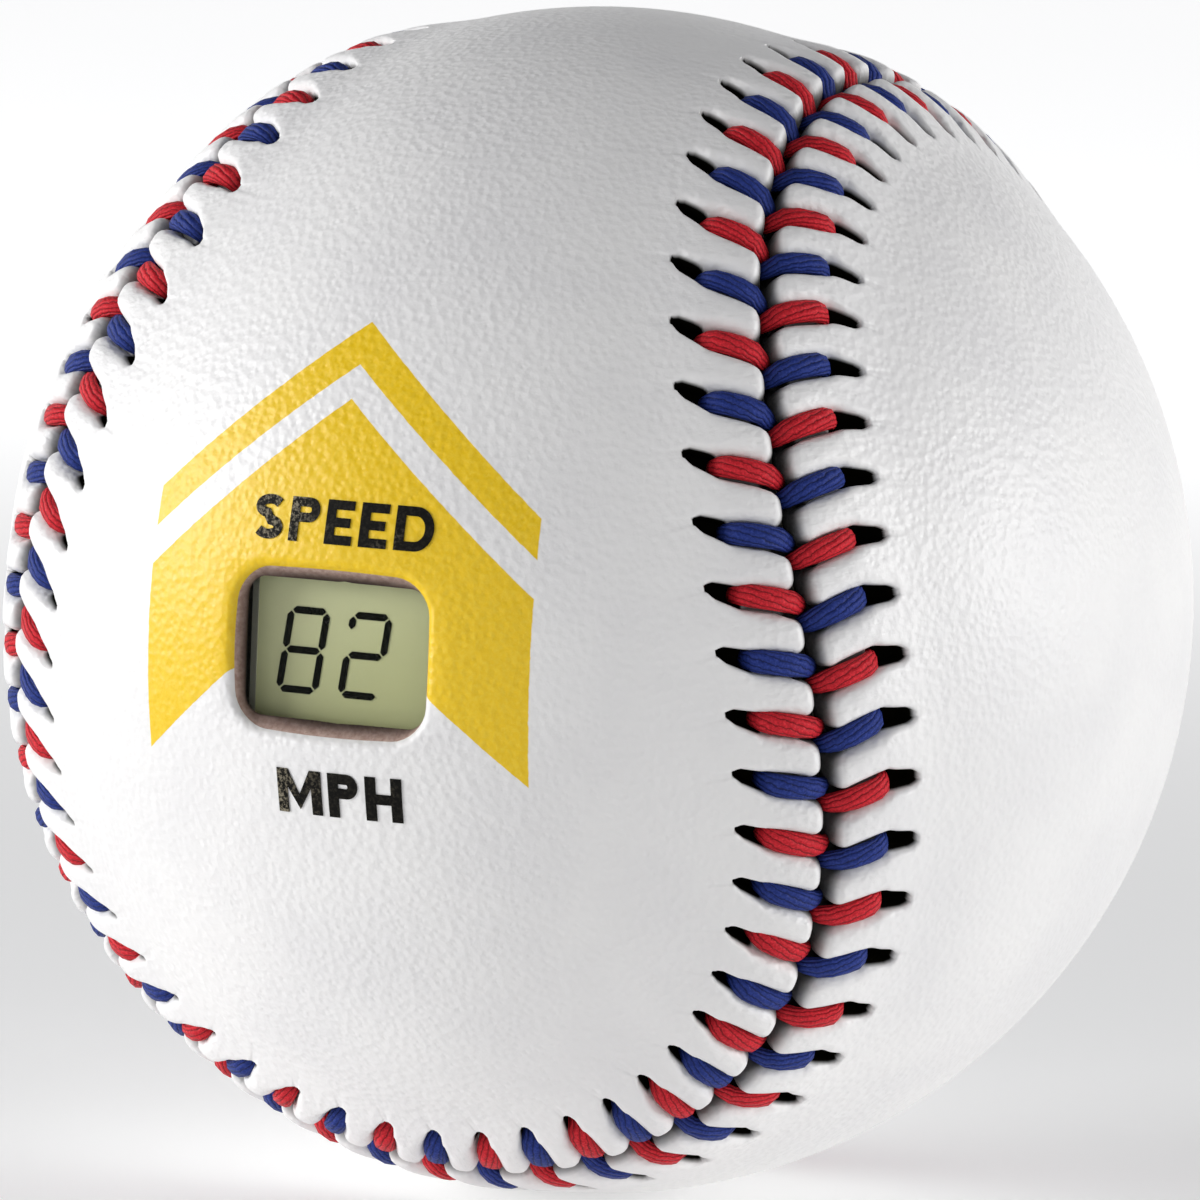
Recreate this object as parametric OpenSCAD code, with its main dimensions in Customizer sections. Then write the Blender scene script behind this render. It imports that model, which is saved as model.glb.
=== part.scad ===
// Practice baseball that senses and shows its own throwing speed.
// Millimetres. The origin is the ball's centre, the display looks along -Y, and +Z is the display's up.

/* [Ball] */
// Diameter of the ball over the leather
ball_diameter = 73.8; // [72:0.2:90]
// Thickness of the leather covers
leather = 1.3; // [1:0.1:1.6]
// Depth of the yarn winding under the leather
winding_depth = 5.4; // [4:0.2:8]
// How strongly the seam swings from side to side
seam_swing = 0.48; // [0.42:0.01:0.54]
// How far the seam climbs towards the poles
seam_climb = 1.05; // [0.95:0.01:1.15]
// Gap between the edges of the two covers
seam_gap = 0.2; // [0.1:0.05:0.4]
// Stitches along the whole seam, each with one leg on either cover
stitches = 108; // [88:4:108]
// Diameter of the waxed stitching thread
thread = 1.1; // [0.8:0.1:1.3]

/* [Display] */
// Width of the window cut in the leather
window_width = 12.3; // [10:0.1:12.8]
// Height of the window cut in the leather
window_height = 9.8; // [8:0.1:10.4]
// Sideways place of the window on its cover
window_x = -0.2; // [-0.4:0.1:0.4]
// Depth of the lens below the top of the leather
lens_recess = 1.9; // [1.7:0.1:2.4]
// Height of the digits
digit_height = 5.1; // [4:0.1:6]
// Width of a digit's segment bar
segment_bar = 0.42; // [0.3:0.02:0.6]

/* [Sensor module] */
// Width of the module's case
case_width = 21; // [20.6:0.2:23]
// Height of the module's case
case_height = 18.5; // [18:0.1:20]
// Depth of the module's case
case_depth = 21.2; // [21:0.2:24]
// Wall of the module's case
case_wall = 1; // [0.8:0.1:1.2]
// Diameter of the button cell
cell_diameter = 11.6; // [9.5:0.1:11.6]
// Height of the button cell
cell_height = 5.4; // [3.6:0.1:5.4]

/* [Inertia switches] */
// Length of each switch tube
tube_length = 8.4; // [8:0.1:8.6]
// Outer diameter of each switch tube
tube_diameter = 3.6; // [3.4:0.1:3.8]
// Radial clearance of the sliding weight in its tube
weight_clearance = 0.05; // [0.02:0.01:0.1]
// Length of the sliding weight
weight_length = 2.8; // [2:0.1:3]
// Free play of the weight to each end contact
switch_travel = 1; // [0.6:0.1:1.2]

/* [Hidden] */
$fn = 64;

ball_r = ball_diameter / 2;
fit_gap = 0.1;
winding_r = ball_r - leather - fit_gap;
core_r = winding_r - winding_depth - fit_gap;

// The seam is one closed curve. s turns once round it in degrees.
seam_table_steps = 360;
panel_steps = 60;
stitch_near = 0.45;
stitch_far = 4.6;
stitch_lean = 1.3;
stitch_stagger = 1.1;
// Where the first stitch leaves the seam's starting point
stitch_start = 2.4;

// Places along Y are counted inwards from the lens, which lies nearest the surface.
lens_y = -(ball_r - lens_recess);
lens_thick = 0.5;
lens_width = window_width + 2.1;
lens_height = window_height + 2.2;
skive_gap = 0.3;
skive_depth = 6;
gasket_thick = 0.1;
boss_front_y = lens_y + lens_thick + gasket_thick;
flange_y = boss_front_y + 2.8;
case_corner = 2;
boss_corner = 1.5;
glass_width = window_width + 0.4;
glass_height = window_height + 0.4;
glass_gap = 0.2;
polariser_y = lens_y + lens_thick + 0.02;
polariser_thick = 0.18;
front_glass_y = polariser_y + polariser_thick;
glass_thick = 0.5;
crystal_y = front_glass_y + glass_thick;
crystal_thick = 0.06;
rear_glass_y = crystal_y + crystal_thick;
reflector_y = rear_glass_y + glass_thick;
reflector_thick = 0.2;
strip_height = 1.6;

board_y = flange_y + case_wall;
board_thick = 0.8;
board_rear_y = board_y + board_thick;
chip_thick = 1.2;
cell_y = board_rear_y + 1.6;
cell_cap = 0.4;
cell_rear_y = cell_y + cell_height;
strap = 0.3;
sensor_board_y = cell_rear_y + strap + 1.5;
sensor_rear_y = sensor_board_y + board_thick;
case_split_y = flange_y + 8;
case_rear_y = flange_y + case_depth;

post_x = case_width / 2 - 2.1;
post_z = case_height / 2 - 2.1;
post_r = 1.2;
screw_r = 0.68;
screw_hole_r = 0.7;
screw_head_r = 1.25;
screw_head = 0.8;
screw_length = case_depth - 9;
board_margin = 0.2;

pad = 0.9;
pocket_gap = 0.1;
pocket_width = case_width + 2 * (pad + pocket_gap);
pocket_height = case_height + 2 * (pad + pocket_gap);
pocket_rear_y = case_rear_y + 2;
peg_r = 2.5;
peg_length = 4;
peg_z = 22;

tube_wall = 0.3;
tube_inner_r = tube_diameter / 2 - tube_wall;
end_cap = 0.8;
spring_room = (tube_length - weight_length) / 2 - end_cap;
contact_r = 0.5;
contact_length = spring_room - switch_travel;
spring_wire_r = 0.1;
spring_turns = 4;
spring_coil_r = 1.15;
spring_gap = 0.02;
switch_seat = sensor_rear_y + tube_diameter / 2 + 0.1;
// Centres of the three switches, each named for the axis its weight slides along
switch_x_at = [0, switch_seat, case_height / 2 - case_wall - tube_diameter / 2 - 0.3];
switch_z_at = [-(case_width / 2 - case_wall - tube_diameter / 2 - 0.3), switch_seat, -1.2];
switch_y_at = [4.6, sensor_rear_y + tube_length / 2 + 0.1, -2.2];

leather_white = "whitesmoke";
thread_red = "firebrick";
thread_blue = "midnightblue";
case_black = "dimgray";

// ---- Seam and stitch geometry ----

function unit(v) = v / norm(v);
function seam(s) = unit([
    -(cos(s) - seam_swing * cos(3 * s)),
    -(sin(s) + seam_swing * sin(3 * s)),
    seam_climb * cos(2 * s)]);
// Unit direction across the seam, towards the cover with the display
function across(s) = unit(cross(seam(s), seam(s + 0.5) - seam(s - 0.5)));
function edge(s, offset) = unit(seam(s) * ball_r + across(s) * offset);
function between(a, b, t) = let (w = acos(a * b)) (sin((1 - t) * w) * a + sin(t * w) * b) / sin(w);

seam_table = [for (i = 0, total = 0; i <= seam_table_steps;
    total = total + ball_r * norm(seam((i + 1) * 360 / seam_table_steps) - seam(i * 360 / seam_table_steps)),
    i = i + 1) [total, i * 360 / seam_table_steps]];
seam_length = seam_table[seam_table_steps][0];
stitch_pitch = seam_length / stitches;

// A point at a distance along the seam, a distance to one side of it, and a height over the leather
function on_ball(along, aside, height) =
    let (s = lookup((along + seam_length) % seam_length, seam_table))
    edge(s, aside) * (ball_r + height);

// Solid wedge from the ball's centre out through one cover's outline. The outline is mirrored in a plane:
// s runs from first to first + 180, and its partner on the far side is mirror_sum - s.
module cover_wedge(first, mirror_sum, offset) {
    n = panel_steps;
    reach = ball_r * 1.35;
    function left(i) = edge(first + 180 * i / n, offset);
    function right(i) = edge(mirror_sum - first - 180 * i / n, offset);
    start = reach * left(0);
    finish = reach * left(n);
    function row(a, b) = [a * reach, between(a, b, 0.5) * reach, b * reach];
    rows = [for (i = [1:n - 1]) each row(left(i), right(i))];
    points = concat([[0, 0, 0], start, finish], rows);
    function at(i, j) = 3 + 3 * (i - 1) + j;
    caps = [for (i = [1:n - 2], j = [0, 1]) each [
        [at(i, j), at(i + 1, j), at(i + 1, j + 1)], [at(i, j), at(i + 1, j + 1), at(i, j + 1)]]];
    sides = [for (i = [1:n - 2]) each [[0, at(i + 1, 0), at(i, 0)], [0, at(i, 2), at(i + 1, 2)]]];
    ends = [
        [1, at(1, 0), at(1, 1)], [1, at(1, 1), at(1, 2)], [0, at(1, 0), 1], [0, 1, at(1, 2)],
        [2, at(n - 1, 1), at(n - 1, 0)], [2, at(n - 1, 2), at(n - 1, 1)],
        [0, 2, at(n - 1, 0)], [0, at(n - 1, 2), 2]];
    polyhedron(points, concat(caps, sides, ends));
}

module leather_shell() {
    difference() {
        sphere(r = ball_r);
        sphere(r = ball_r - leather);
    }
}

// Rectangle with rounded corners, as a list of points
function rounded(w, h, r, k = 5) = [for (c = [0:3], i = [0:k])
    let (a = 90 * c + 90 * i / k, sx = (c == 0 || c == 3) ? 1 : -1, sz = c < 2 ? 1 : -1)
    [sx * (w / 2 - r) + r * cos(a), sz * (h / 2 - r) + r * sin(a)]];

// Block of a rounded outline in X and Z, from y to y + depth
module block(w, h, r, y, depth) {
    translate([0, y + depth, 0]) rotate([90, 0, 0]) linear_extrude(depth) polygon(rounded(w, h, r));
}

// Round bar along Y, from y to y + depth
module bar_y(r, y, depth) {
    translate([0, y, 0]) rotate([-90, 0, 0]) cylinder(r = r, h = depth);
}

module at_posts() {
    for (sx = [-1, 1], sz = [-1, 1]) translate([sx * post_x, 0, sz * post_z]) children();
}

// ---- Covers and stitches ----

module cover_panel_display() {
    color(leather_white) difference() {
        intersection() {
            leather_shell();
            cover_wedge(-90, 180, seam_gap / 2);
        }
        translate([window_x, 0, 0]) block(window_width, window_height, 1.9, -ball_r - 1, 2 * leather + 3);
        translate([window_x, 0, 0])
            block(lens_width + skive_gap, lens_height + skive_gap, 1.6, lens_y - fit_gap / 2, skive_depth);
    }
}

module cover_panel_plain() {
    color(leather_white) intersection() {
        leather_shell();
        cover_wedge(0, 0, -seam_gap / 2);
    }
}

// One leg of a stitch: a round bar with coned ends, lying on the leather from near the seam outwards
module stitch_leg(from, to) {
    v = to - from;
    l = norm(v);
    r = thread / 2;
    taper = r;
    tip = r * 0.5;
    translate(from) rotate([0, acos(v[2] / l), atan2(v[1], v[0])])
        rotate_extrude() polygon([[0, 0], [tip, 0], [r, taper], [r, l - taper], [tip, l], [0, l]]);
}

module stitch_legs(parity) {
    lift = thread / 2 + 0.1;
    for (k = [0:stitches - 1]) {
        along = stitch_start + k * stitch_pitch;
        if (k % 2 == parity)
            stitch_leg(on_ball(along, stitch_near, lift), on_ball(along + stitch_lean, stitch_far, lift));
        else
            stitch_leg(on_ball(along - stitch_stagger, -stitch_near, lift),
                on_ball(along - stitch_stagger + stitch_lean, -stitch_far, lift));
    }
}

module stitches_red() {
    color(thread_red) stitch_legs(1);
}

module stitches_blue() {
    color(thread_blue) stitch_legs(0);
}

// ---- Winding, core and pads ----

module winding_layer() {
    color("gainsboro") difference() {
        rotate([90, 0, 0]) sphere(r = winding_r);
        sphere(r = core_r + fit_gap);
        block(pocket_width, pocket_height, case_corner, flange_y - pocket_gap, ball_r);
        translate([window_x, 0, 0])
            block(lens_width + 2 * skive_gap, lens_height + 2 * skive_gap, 1.7, -ball_r, ball_r);
    }
}

module core_pegs(slack) {
    reach = peg_length + slack;
    for (sz = [-1, 1]) translate([0, 0, sz * peg_z]) bar_y(peg_r + slack, -reach, reach);
}

module core_front() {
    color("saddlebrown") difference() {
        intersection() {
            sphere(r = core_r);
            translate([-ball_r, -2 * ball_r, -ball_r]) cube(2 * ball_r);
        }
        block(pocket_width, pocket_height, case_corner, -ball_r, ball_r + pocket_rear_y);
        core_pegs(fit_gap);
    }
}

module core_rear() {
    color("saddlebrown") union() {
        intersection() {
            sphere(r = core_r);
            translate([-ball_r, 0, -ball_r]) cube(2 * ball_r);
        }
        core_pegs(0);
    }
}

module shock_pad_rear() {
    thick = pocket_rear_y - case_rear_y - 2 * pocket_gap;
    color("darkslategray")
        block(case_width - 1, case_height - 1, case_corner, case_rear_y + pocket_gap, thick);
}

module shock_pad_sides() {
    pad_depth = case_depth - 9;
    long = case_width - 2 * case_corner - 1;
    tall = case_height - 2 * case_corner - 1;
    color("darkslategray") for (s = [-1, 1]) {
        translate([s * (case_width + pad + pocket_gap) / 2, case_rear_y - pad_depth / 2 - 1, 0])
            cube([pad, pad_depth, tall], center = true);
        translate([0, case_rear_y - pad_depth / 2 - 1, s * (case_height + pad + pocket_gap) / 2])
            cube([long, pad_depth, pad], center = true);
    }
}

// ---- Module case ----

module case_front() {
    color(case_black) difference() {
        union() {
            difference() {
                union() {
                    block(case_width, case_height, case_corner, flange_y, case_split_y - flange_y);
                    translate([window_x, 0, 0])
                        block(lens_width, lens_height, boss_corner, boss_front_y,
                            flange_y - boss_front_y + 0.5);
                }
                block(case_width - 2 * case_wall, case_height - 2 * case_wall, case_corner - case_wall,
                    flange_y + case_wall, ball_r);
            }
            at_posts() bar_y(post_r, flange_y + 0.5, case_split_y - flange_y - 0.5);
        }
        translate([window_x, 0, 0])
            block(glass_width + glass_gap, glass_height + glass_gap, 0.4, -ball_r, board_y + ball_r + 0.01);
        at_posts() bar_y(screw_hole_r, board_y, ball_r);
    }
}

module case_rear() {
    color(case_black) difference() {
        union() {
            difference() {
                block(case_width, case_height, case_corner, case_split_y, case_rear_y - case_split_y);
                block(case_width - 2 * case_wall, case_height - 2 * case_wall, case_corner - case_wall,
                    case_split_y - 1, case_rear_y - case_split_y + 1 - case_wall);
            }
            at_posts() bar_y(post_r, case_split_y, case_rear_y - case_split_y - 0.5);
        }
        at_posts() bar_y(screw_hole_r, case_split_y - 1, ball_r);
        at_posts() bar_y(screw_head_r + 0.1, case_rear_y - screw_head - 0.1, ball_r);
    }
}

module case_screws() {
    seat_y = case_rear_y - screw_head - 0.1;
    color("silver") at_posts() difference() {
        union() {
            bar_y(screw_head_r, seat_y, screw_head);
            bar_y(screw_r, seat_y - screw_length, screw_length + 0.2);
        }
        for (turn = [0, 90]) rotate([0, turn, 0])
            translate([0, seat_y + screw_head, 0]) cube([1.6, 0.7, 0.35], center = true);
    }
}

// ---- Lens and display ----

module lens_window() {
    color("lightcyan", 0.5) translate([window_x, 0, 0])
        block(lens_width, lens_height, boss_corner, lens_y, lens_thick);
}

module lens_gasket() {
    color("black") translate([window_x, 0, 0]) difference() {
        block(lens_width, lens_height, boss_corner, lens_y + lens_thick, gasket_thick);
        block(glass_width + glass_gap, glass_height + glass_gap, 0.4, -ball_r, ball_r);
    }
}

module display_plate(w, h, y, depth) {
    translate([window_x, y + depth / 2, 0]) cube([w, depth, h], center = true);
}

module lcd_polariser() {
    color("darkseagreen", 0.6)
        display_plate(glass_width - 0.4, glass_height - 0.4, polariser_y, polariser_thick);
}

module lcd_front_glass() {
    color("honeydew", 0.5) display_plate(glass_width, glass_height, front_glass_y, glass_thick);
}

module lcd_rear_glass() {
    color("honeydew", 0.5) display_plate(glass_width, glass_height, rear_glass_y, glass_thick);
}

module lcd_seal() {
    color("darkkhaki") difference() {
        display_plate(glass_width, glass_height, crystal_y, crystal_thick);
        display_plate(glass_width - 0.8, glass_height - 0.8, crystal_y - 1, 3);
    }
}

module lcd_reflector() {
    height = glass_height - 2 * strip_height - 0.6;
    color("darkseagreen") display_plate(glass_width - 0.4, height, reflector_y, reflector_thick);
}

// Seven-segment digits: each lit bar is a separate solid, with mitred ends
digit_width = digit_height * 0.54;
digit_pitch = 4.05;
digits_x = window_x - 0.9;
digits_z = -0.5;
digit_slant = 8;
bar_break = 0.09;
upright = (digit_height - segment_bar) / 2;
level = digit_width - segment_bar;

module lit_bar(x, z, turn, length) {
    b = segment_bar / 2;
    h = length / 2 - bar_break;
    translate([x, z]) rotate(turn)
        polygon([[-h, 0], [-h + b, b], [h - b, b], [h, 0], [h - b, -b], [-h + b, -b]]);
}

module digit(lit) {
    if (lit[0]) lit_bar(0, upright, 0, level);
    if (lit[1]) lit_bar(level / 2, upright / 2, 90, upright);
    if (lit[2]) lit_bar(level / 2, -upright / 2, 90, upright);
    if (lit[3]) lit_bar(0, -upright, 0, level);
    if (lit[4]) lit_bar(-level / 2, -upright / 2, 90, upright);
    if (lit[5]) lit_bar(-level / 2, upright / 2, 90, upright);
    if (lit[6]) lit_bar(0, 0, 0, level);
}

// Short tip that hangs from the top bar of the two
module hanging_tip() {
    length = upright * 0.4;
    lit_bar(-level / 2, upright - length / 2, 90, length);
}

module lcd_segments() {
    eight = [true, true, true, true, true, true, true];
    two = [true, true, false, true, true, false, true];
    lean = tan(digit_slant);
    leaning = [[1, lean, 0, 0], [0, 1, 0, 0], [0, 0, 1, 0], [0, 0, 0, 1]];
    color("black") translate([digits_x, crystal_y + crystal_thick, digits_z]) rotate([90, 0, 0])
        linear_extrude(crystal_thick) multmatrix(leaning) {
            translate([-digit_pitch / 2, 0]) digit(eight);
            translate([digit_pitch / 2, 0]) {
                digit(two);
                hanging_tip();
            }
        }
}

module zebra_strip(side) {
    y = reflector_y;
    color("gray") translate([window_x, (y + board_y) / 2, side * (glass_height - strip_height) / 2])
        cube([glass_width - 0.8, board_y - y, strip_height - 0.1], center = true);
}

// ---- Electronics ----

module notched_board(y) {
    difference() {
        block(case_width - 2 * (case_wall + board_margin), case_height - 2 * (case_wall + board_margin),
            0.8, y, board_thick);
        at_posts() bar_y(post_r + board_margin, y - 1, board_thick + 2);
    }
}

module circuit_board() {
    color("darkgreen") notched_board(board_y);
}

module sensor_board() {
    color("darkgreen") notched_board(sensor_board_y);
}

module controller_chip() {
    chip_size = 5;
    legs = 5;
    lead_pitch = 0.9;
    color("black") translate([-1, board_rear_y, 3]) {
        translate([-chip_size / 2, 0.1, -chip_size / 2]) cube([chip_size, chip_thick - 0.1, chip_size]);
        for (turn = [0:90:270], i = [0:legs - 1]) rotate([0, turn, 0])
            translate([chip_size / 2 - 0.1, 0, (i - (legs - 1) / 2) * lead_pitch - 0.15])
                cube([0.8, 0.25, 0.3]);
    }
}

module timing_crystal() {
    can_r = 0.75;
    can_length = 5;
    color("silver") translate([7.6, board_rear_y + can_r, -can_length / 2 + 0.5]) {
        cylinder(r = can_r, h = can_length);
        for (s = [-1, 1]) translate([s * 0.35, 0, -1]) cylinder(r = 0.12, h = 1.1);
    }
}

// Small chip parts stand on the rear of the display board, clear of the controller and the cell's contact
module chip_part(x, z, w, h, rise) {
    translate([x - w / 2, board_rear_y, z - h / 2]) cube([w, rise, h]);
}

module chip_capacitors() {
    color("tan") for (i = [0:3]) chip_part(-7.6, 3.2 - 2.2 * i, 0.8, 1.5, 0.8);
}

module chip_resistors() {
    color("black") for (i = [0:2]) chip_part(-4.6 + 2.4 * i, -6.9, 1.6, 0.8, 0.5);
}

module coin_cell() {
    color("silver") union() {
        bar_y(cell_diameter / 2, cell_y + cell_cap, cell_height - cell_cap);
        bar_y(cell_diameter / 2 - 1, cell_y, cell_cap + 0.2);
    }
}

module battery_clip() {
    half = cell_diameter / 2 + 0.2;
    clip_width = 4;
    color("gold") translate([0, 0, -clip_width / 2]) linear_extrude(clip_width) polygon([
        [-half, board_rear_y], [-half - strap, board_rear_y], [-half - strap, cell_rear_y + strap],
        [half + strap, cell_rear_y + strap], [half + strap, board_rear_y], [half, board_rear_y],
        [half, cell_rear_y], [-half, cell_rear_y]]);
}

// Sprung leaf from the board to the cell's negative cap
module battery_contact() {
    leaf_width = 2;
    color("gold") translate([0, 0, -2.6 - leaf_width / 2]) linear_extrude(leaf_width) polygon([
        [-4, board_rear_y], [-2.2, board_rear_y], [2, cell_y - strap], [3.6, cell_y - strap],
        [3.6, cell_y], [1.8, cell_y], [-2.4, board_rear_y + strap], [-4, board_rear_y + strap]]);
}

module board_link_pins() {
    color("gold") for (i = [0:3]) translate([-3.3 + 2.2 * i, board_rear_y, 7.2])
        rotate([-90, 0, 0]) cylinder(r = 0.3, h = sensor_board_y - board_rear_y);
}

// ---- Inertia switches, each drawn along Z about its own centre ----

module switch_tube() {
    color("goldenrod") difference() {
        cylinder(r = tube_diameter / 2, h = tube_length, center = true);
        cylinder(r = tube_inner_r, h = tube_length + 1, center = true);
    }
}

module switch_contacts() {
    color("gold") for (s = [0, 180]) rotate([s, 0, 0]) {
        translate([0, 0, tube_length / 2 - end_cap]) cylinder(r = tube_inner_r, h = end_cap);
        translate([0, 0, tube_length / 2 - end_cap - contact_length])
            cylinder(r = contact_r, h = contact_length + 0.2);
    }
}

module switch_weight() {
    color("lightsteelblue") cylinder(r = tube_inner_r - weight_clearance, h = weight_length, center = true);
}

// Coil spring between the weight and one end cap: a round wire swept along a helix
module switch_spring(s) {
    sides = 6;
    per_turn = 14;
    rings = per_turn * spring_turns;
    start = weight_length / 2 + spring_gap + spring_wire_r;
    rise = spring_room - 2 * (spring_gap + spring_wire_r);
    lead = rise / spring_turns / 360 * 180 / PI;
    points = [for (i = [0:rings], j = [0:sides - 1])
        let (
            a = 360 * i / per_turn,
            b = 360 * j / sides,
            out = [cos(a), sin(a), 0],
            up = unit(cross([-sin(a) * spring_coil_r, cos(a) * spring_coil_r, lead], out)))
        [spring_coil_r * cos(a), spring_coil_r * sin(a), start + rise * i / rings]
            + spring_wire_r * (cos(b) * out + sin(b) * up)];
    skin = [for (i = [0:rings - 1], j = [0:sides - 1])
        let (k = (j + 1) % sides, p = i * sides, q = (i + 1) * sides)
        [p + j, q + j, q + k, p + k]];
    first = [for (j = [0:sides - 1]) j];
    last = [for (j = [0:sides - 1]) rings * sides + sides - 1 - j];
    color("silver") rotate([s < 0 ? 180 : 0, 0, 0]) polyhedron(points, concat(skin, [first, last]));
}

module along_x() {
    translate(switch_x_at) rotate([0, 90, 0]) children();
}

module along_y() {
    translate(switch_y_at) rotate([-90, 0, 0]) children();
}

module along_z() {
    translate(switch_z_at) children();
}

cover_panel_display();
cover_panel_plain();
stitches_red();
stitches_blue();
winding_layer();
core_front();
core_rear();
shock_pad_rear();
shock_pad_sides();
case_front();
case_rear();
case_screws();
lens_window();
lens_gasket();
lcd_polariser();
lcd_front_glass();
lcd_segments();
lcd_seal();
lcd_rear_glass();
lcd_reflector();
zebra_strip(1);  // zebra_strip_upper
zebra_strip(-1);  // zebra_strip_lower
circuit_board();
controller_chip();
timing_crystal();
chip_capacitors();
chip_resistors();
coin_cell();
battery_clip();
battery_contact();
board_link_pins();
sensor_board();
along_x() switch_tube();  // switch_x_tube
along_x() switch_contacts();  // switch_x_contacts
along_x() switch_weight();  // switch_x_weight
along_x() switch_spring(1);  // switch_x_spring_a
along_x() switch_spring(-1);  // switch_x_spring_b
along_y() switch_tube();  // switch_y_tube
along_y() switch_contacts();  // switch_y_contacts
along_y() switch_weight();  // switch_y_weight
along_y() switch_spring(1);  // switch_y_spring_a
along_y() switch_spring(-1);  // switch_y_spring_b
along_z() switch_tube();  // switch_z_tube
along_z() switch_contacts();  // switch_z_contacts
along_z() switch_weight();  // switch_z_weight
along_z() switch_spring(1);  // switch_z_spring_a
along_z() switch_spring(-1);  // switch_z_spring_b
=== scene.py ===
"""Practice baseball with a speed display: leather covers, stitching, prints, display and sensor module."""
import math

import bmesh
import bpy
import numpy as np
from mathutils import Matrix, Vector


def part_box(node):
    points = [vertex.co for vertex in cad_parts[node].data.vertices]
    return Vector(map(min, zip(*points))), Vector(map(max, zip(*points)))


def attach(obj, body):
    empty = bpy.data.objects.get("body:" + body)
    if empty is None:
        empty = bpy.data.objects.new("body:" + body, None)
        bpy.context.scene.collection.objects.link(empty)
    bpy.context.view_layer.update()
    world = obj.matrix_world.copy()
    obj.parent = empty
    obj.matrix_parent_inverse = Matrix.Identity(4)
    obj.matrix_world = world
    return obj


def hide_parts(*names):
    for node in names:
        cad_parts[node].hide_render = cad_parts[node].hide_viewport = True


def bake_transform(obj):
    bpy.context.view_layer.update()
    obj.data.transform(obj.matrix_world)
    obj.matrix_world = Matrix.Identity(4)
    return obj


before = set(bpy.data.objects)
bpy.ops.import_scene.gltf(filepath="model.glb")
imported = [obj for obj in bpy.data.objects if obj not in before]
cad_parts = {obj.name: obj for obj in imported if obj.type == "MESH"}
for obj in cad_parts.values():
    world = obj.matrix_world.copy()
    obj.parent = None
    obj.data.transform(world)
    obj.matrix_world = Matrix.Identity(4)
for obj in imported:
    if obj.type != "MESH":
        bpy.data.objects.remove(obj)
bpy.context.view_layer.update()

bl_info = {
    "name": "Speed-sensing baseball",
    "version": (1, 0, 0),
    "blender": (4, 5, 0),
    "location": "View3D > Sidebar > Ball",
    "description": "Builds a stitched leather baseball with a speed display and its sensor module",
    "category": "Object",
}

# Lengths are in millimetres, and MM turns them to metres
MM = 0.001
LEATHER = 1.3
WINDING = 5.4
FIT_GAP = 0.1
BALL_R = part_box("core_rear")[1].y / MM + WINDING + 2 * FIT_GAP + LEATHER
# How far the seam swings to the sides and climbs towards the poles, as shares of its circle
SEAM_SWING = 0.48
SEAM_CLIMB = 1.05
# Stitch legs along each side of the seam, where the first one starts, and the lag of those on the plain cover
STITCHES = 108
STITCH_START = 2.4
STITCH_STAGGER = 1.1
# Distance from the seam at which a leg dives into its slit, and the end of the slit on each cover
SLIT_START = 3.8
SLIT_END = {1: 5.5, -1: 5.8}


# ---- Colours ----

def linear(hex_value):
    """sRGB hex to linear RGBA."""
    channels = [int(hex_value[i:i + 2], 16) / 255 for i in (0, 2, 4)]
    return tuple(c / 12.92 if c <= 0.04045 else ((c + 0.055) / 1.055) ** 2.4 for c in channels) + (1.0,)


# ---- Properties ----

class BallSizes(bpy.types.PropertyGroup):
    """Sizes of the leather work"""
    tab_height: bpy.props.FloatProperty(
        name="Tab height", description="How far the leather puffs up between two stitches",
        default=0.85 * MM, min=0.2 * MM, max=1.2 * MM, unit="LENGTH", subtype="DISTANCE")
    press_depth: bpy.props.FloatProperty(
        name="Thread bed", description="How deep each stitch presses into the leather",
        default=0.42 * MM, min=0.0, max=0.8 * MM, unit="LENGTH", subtype="DISTANCE")
    hole_depth: bpy.props.FloatProperty(
        name="Hole depth", description="Depth of the slit that each stitch goes into",
        default=1.1 * MM, min=0.3 * MM, max=1.2 * MM, unit="LENGTH", subtype="DISTANCE")
    thread_width: bpy.props.FloatProperty(
        name="Thread width", description="Width of the flattened waxed thread",
        default=1.38 * MM, min=0.8 * MM, max=1.8 * MM, unit="LENGTH", subtype="DISTANCE")
    thread_height: bpy.props.FloatProperty(
        name="Thread height", description="Height of the flattened waxed thread",
        default=0.9 * MM, min=0.5 * MM, max=1.4 * MM, unit="LENGTH", subtype="DISTANCE")
    grain: bpy.props.FloatProperty(
        name="Grain size", description="Width of one pebble of the leather's grain",
        default=0.5 * MM, min=0.2 * MM, max=2.0 * MM, unit="LENGTH", subtype="DISTANCE")


class BallColours(bpy.types.PropertyGroup):
    """Colours of the ball"""
    leather: bpy.props.FloatVectorProperty(
        name="Leather", description="Coated white cowhide",
        default=linear("F3F2F1"), size=4, min=0.0, max=1.0, subtype="COLOR")
    print_yellow: bpy.props.FloatVectorProperty(
        name="Print yellow", description="Screen-printed bands",
        default=linear("F2C80F"), size=4, min=0.0, max=1.0, subtype="COLOR")
    print_black: bpy.props.FloatVectorProperty(
        name="Print black", description="Screen-printed legends",
        default=linear("0B0A08"), size=4, min=0.0, max=1.0, subtype="COLOR")
    red_thread: bpy.props.FloatVectorProperty(
        name="Red thread", description="Waxed red thread",
        default=linear("BF1E2A"), size=4, min=0.0, max=1.0, subtype="COLOR")
    blue_thread: bpy.props.FloatVectorProperty(
        name="Blue thread", description="Waxed navy thread",
        default=linear("1F3178"), size=4, min=0.0, max=1.0, subtype="COLOR")
    display: bpy.props.FloatVectorProperty(
        name="Display", description="Reflective film behind the glass",
        default=linear("D3D799"), size=4, min=0.0, max=1.0, subtype="COLOR")
    suede: bpy.props.FloatVectorProperty(
        name="Flesh side", description="Cut edge of the hide",
        default=linear("AC8E83"), size=4, min=0.0, max=1.0, subtype="COLOR")


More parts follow.
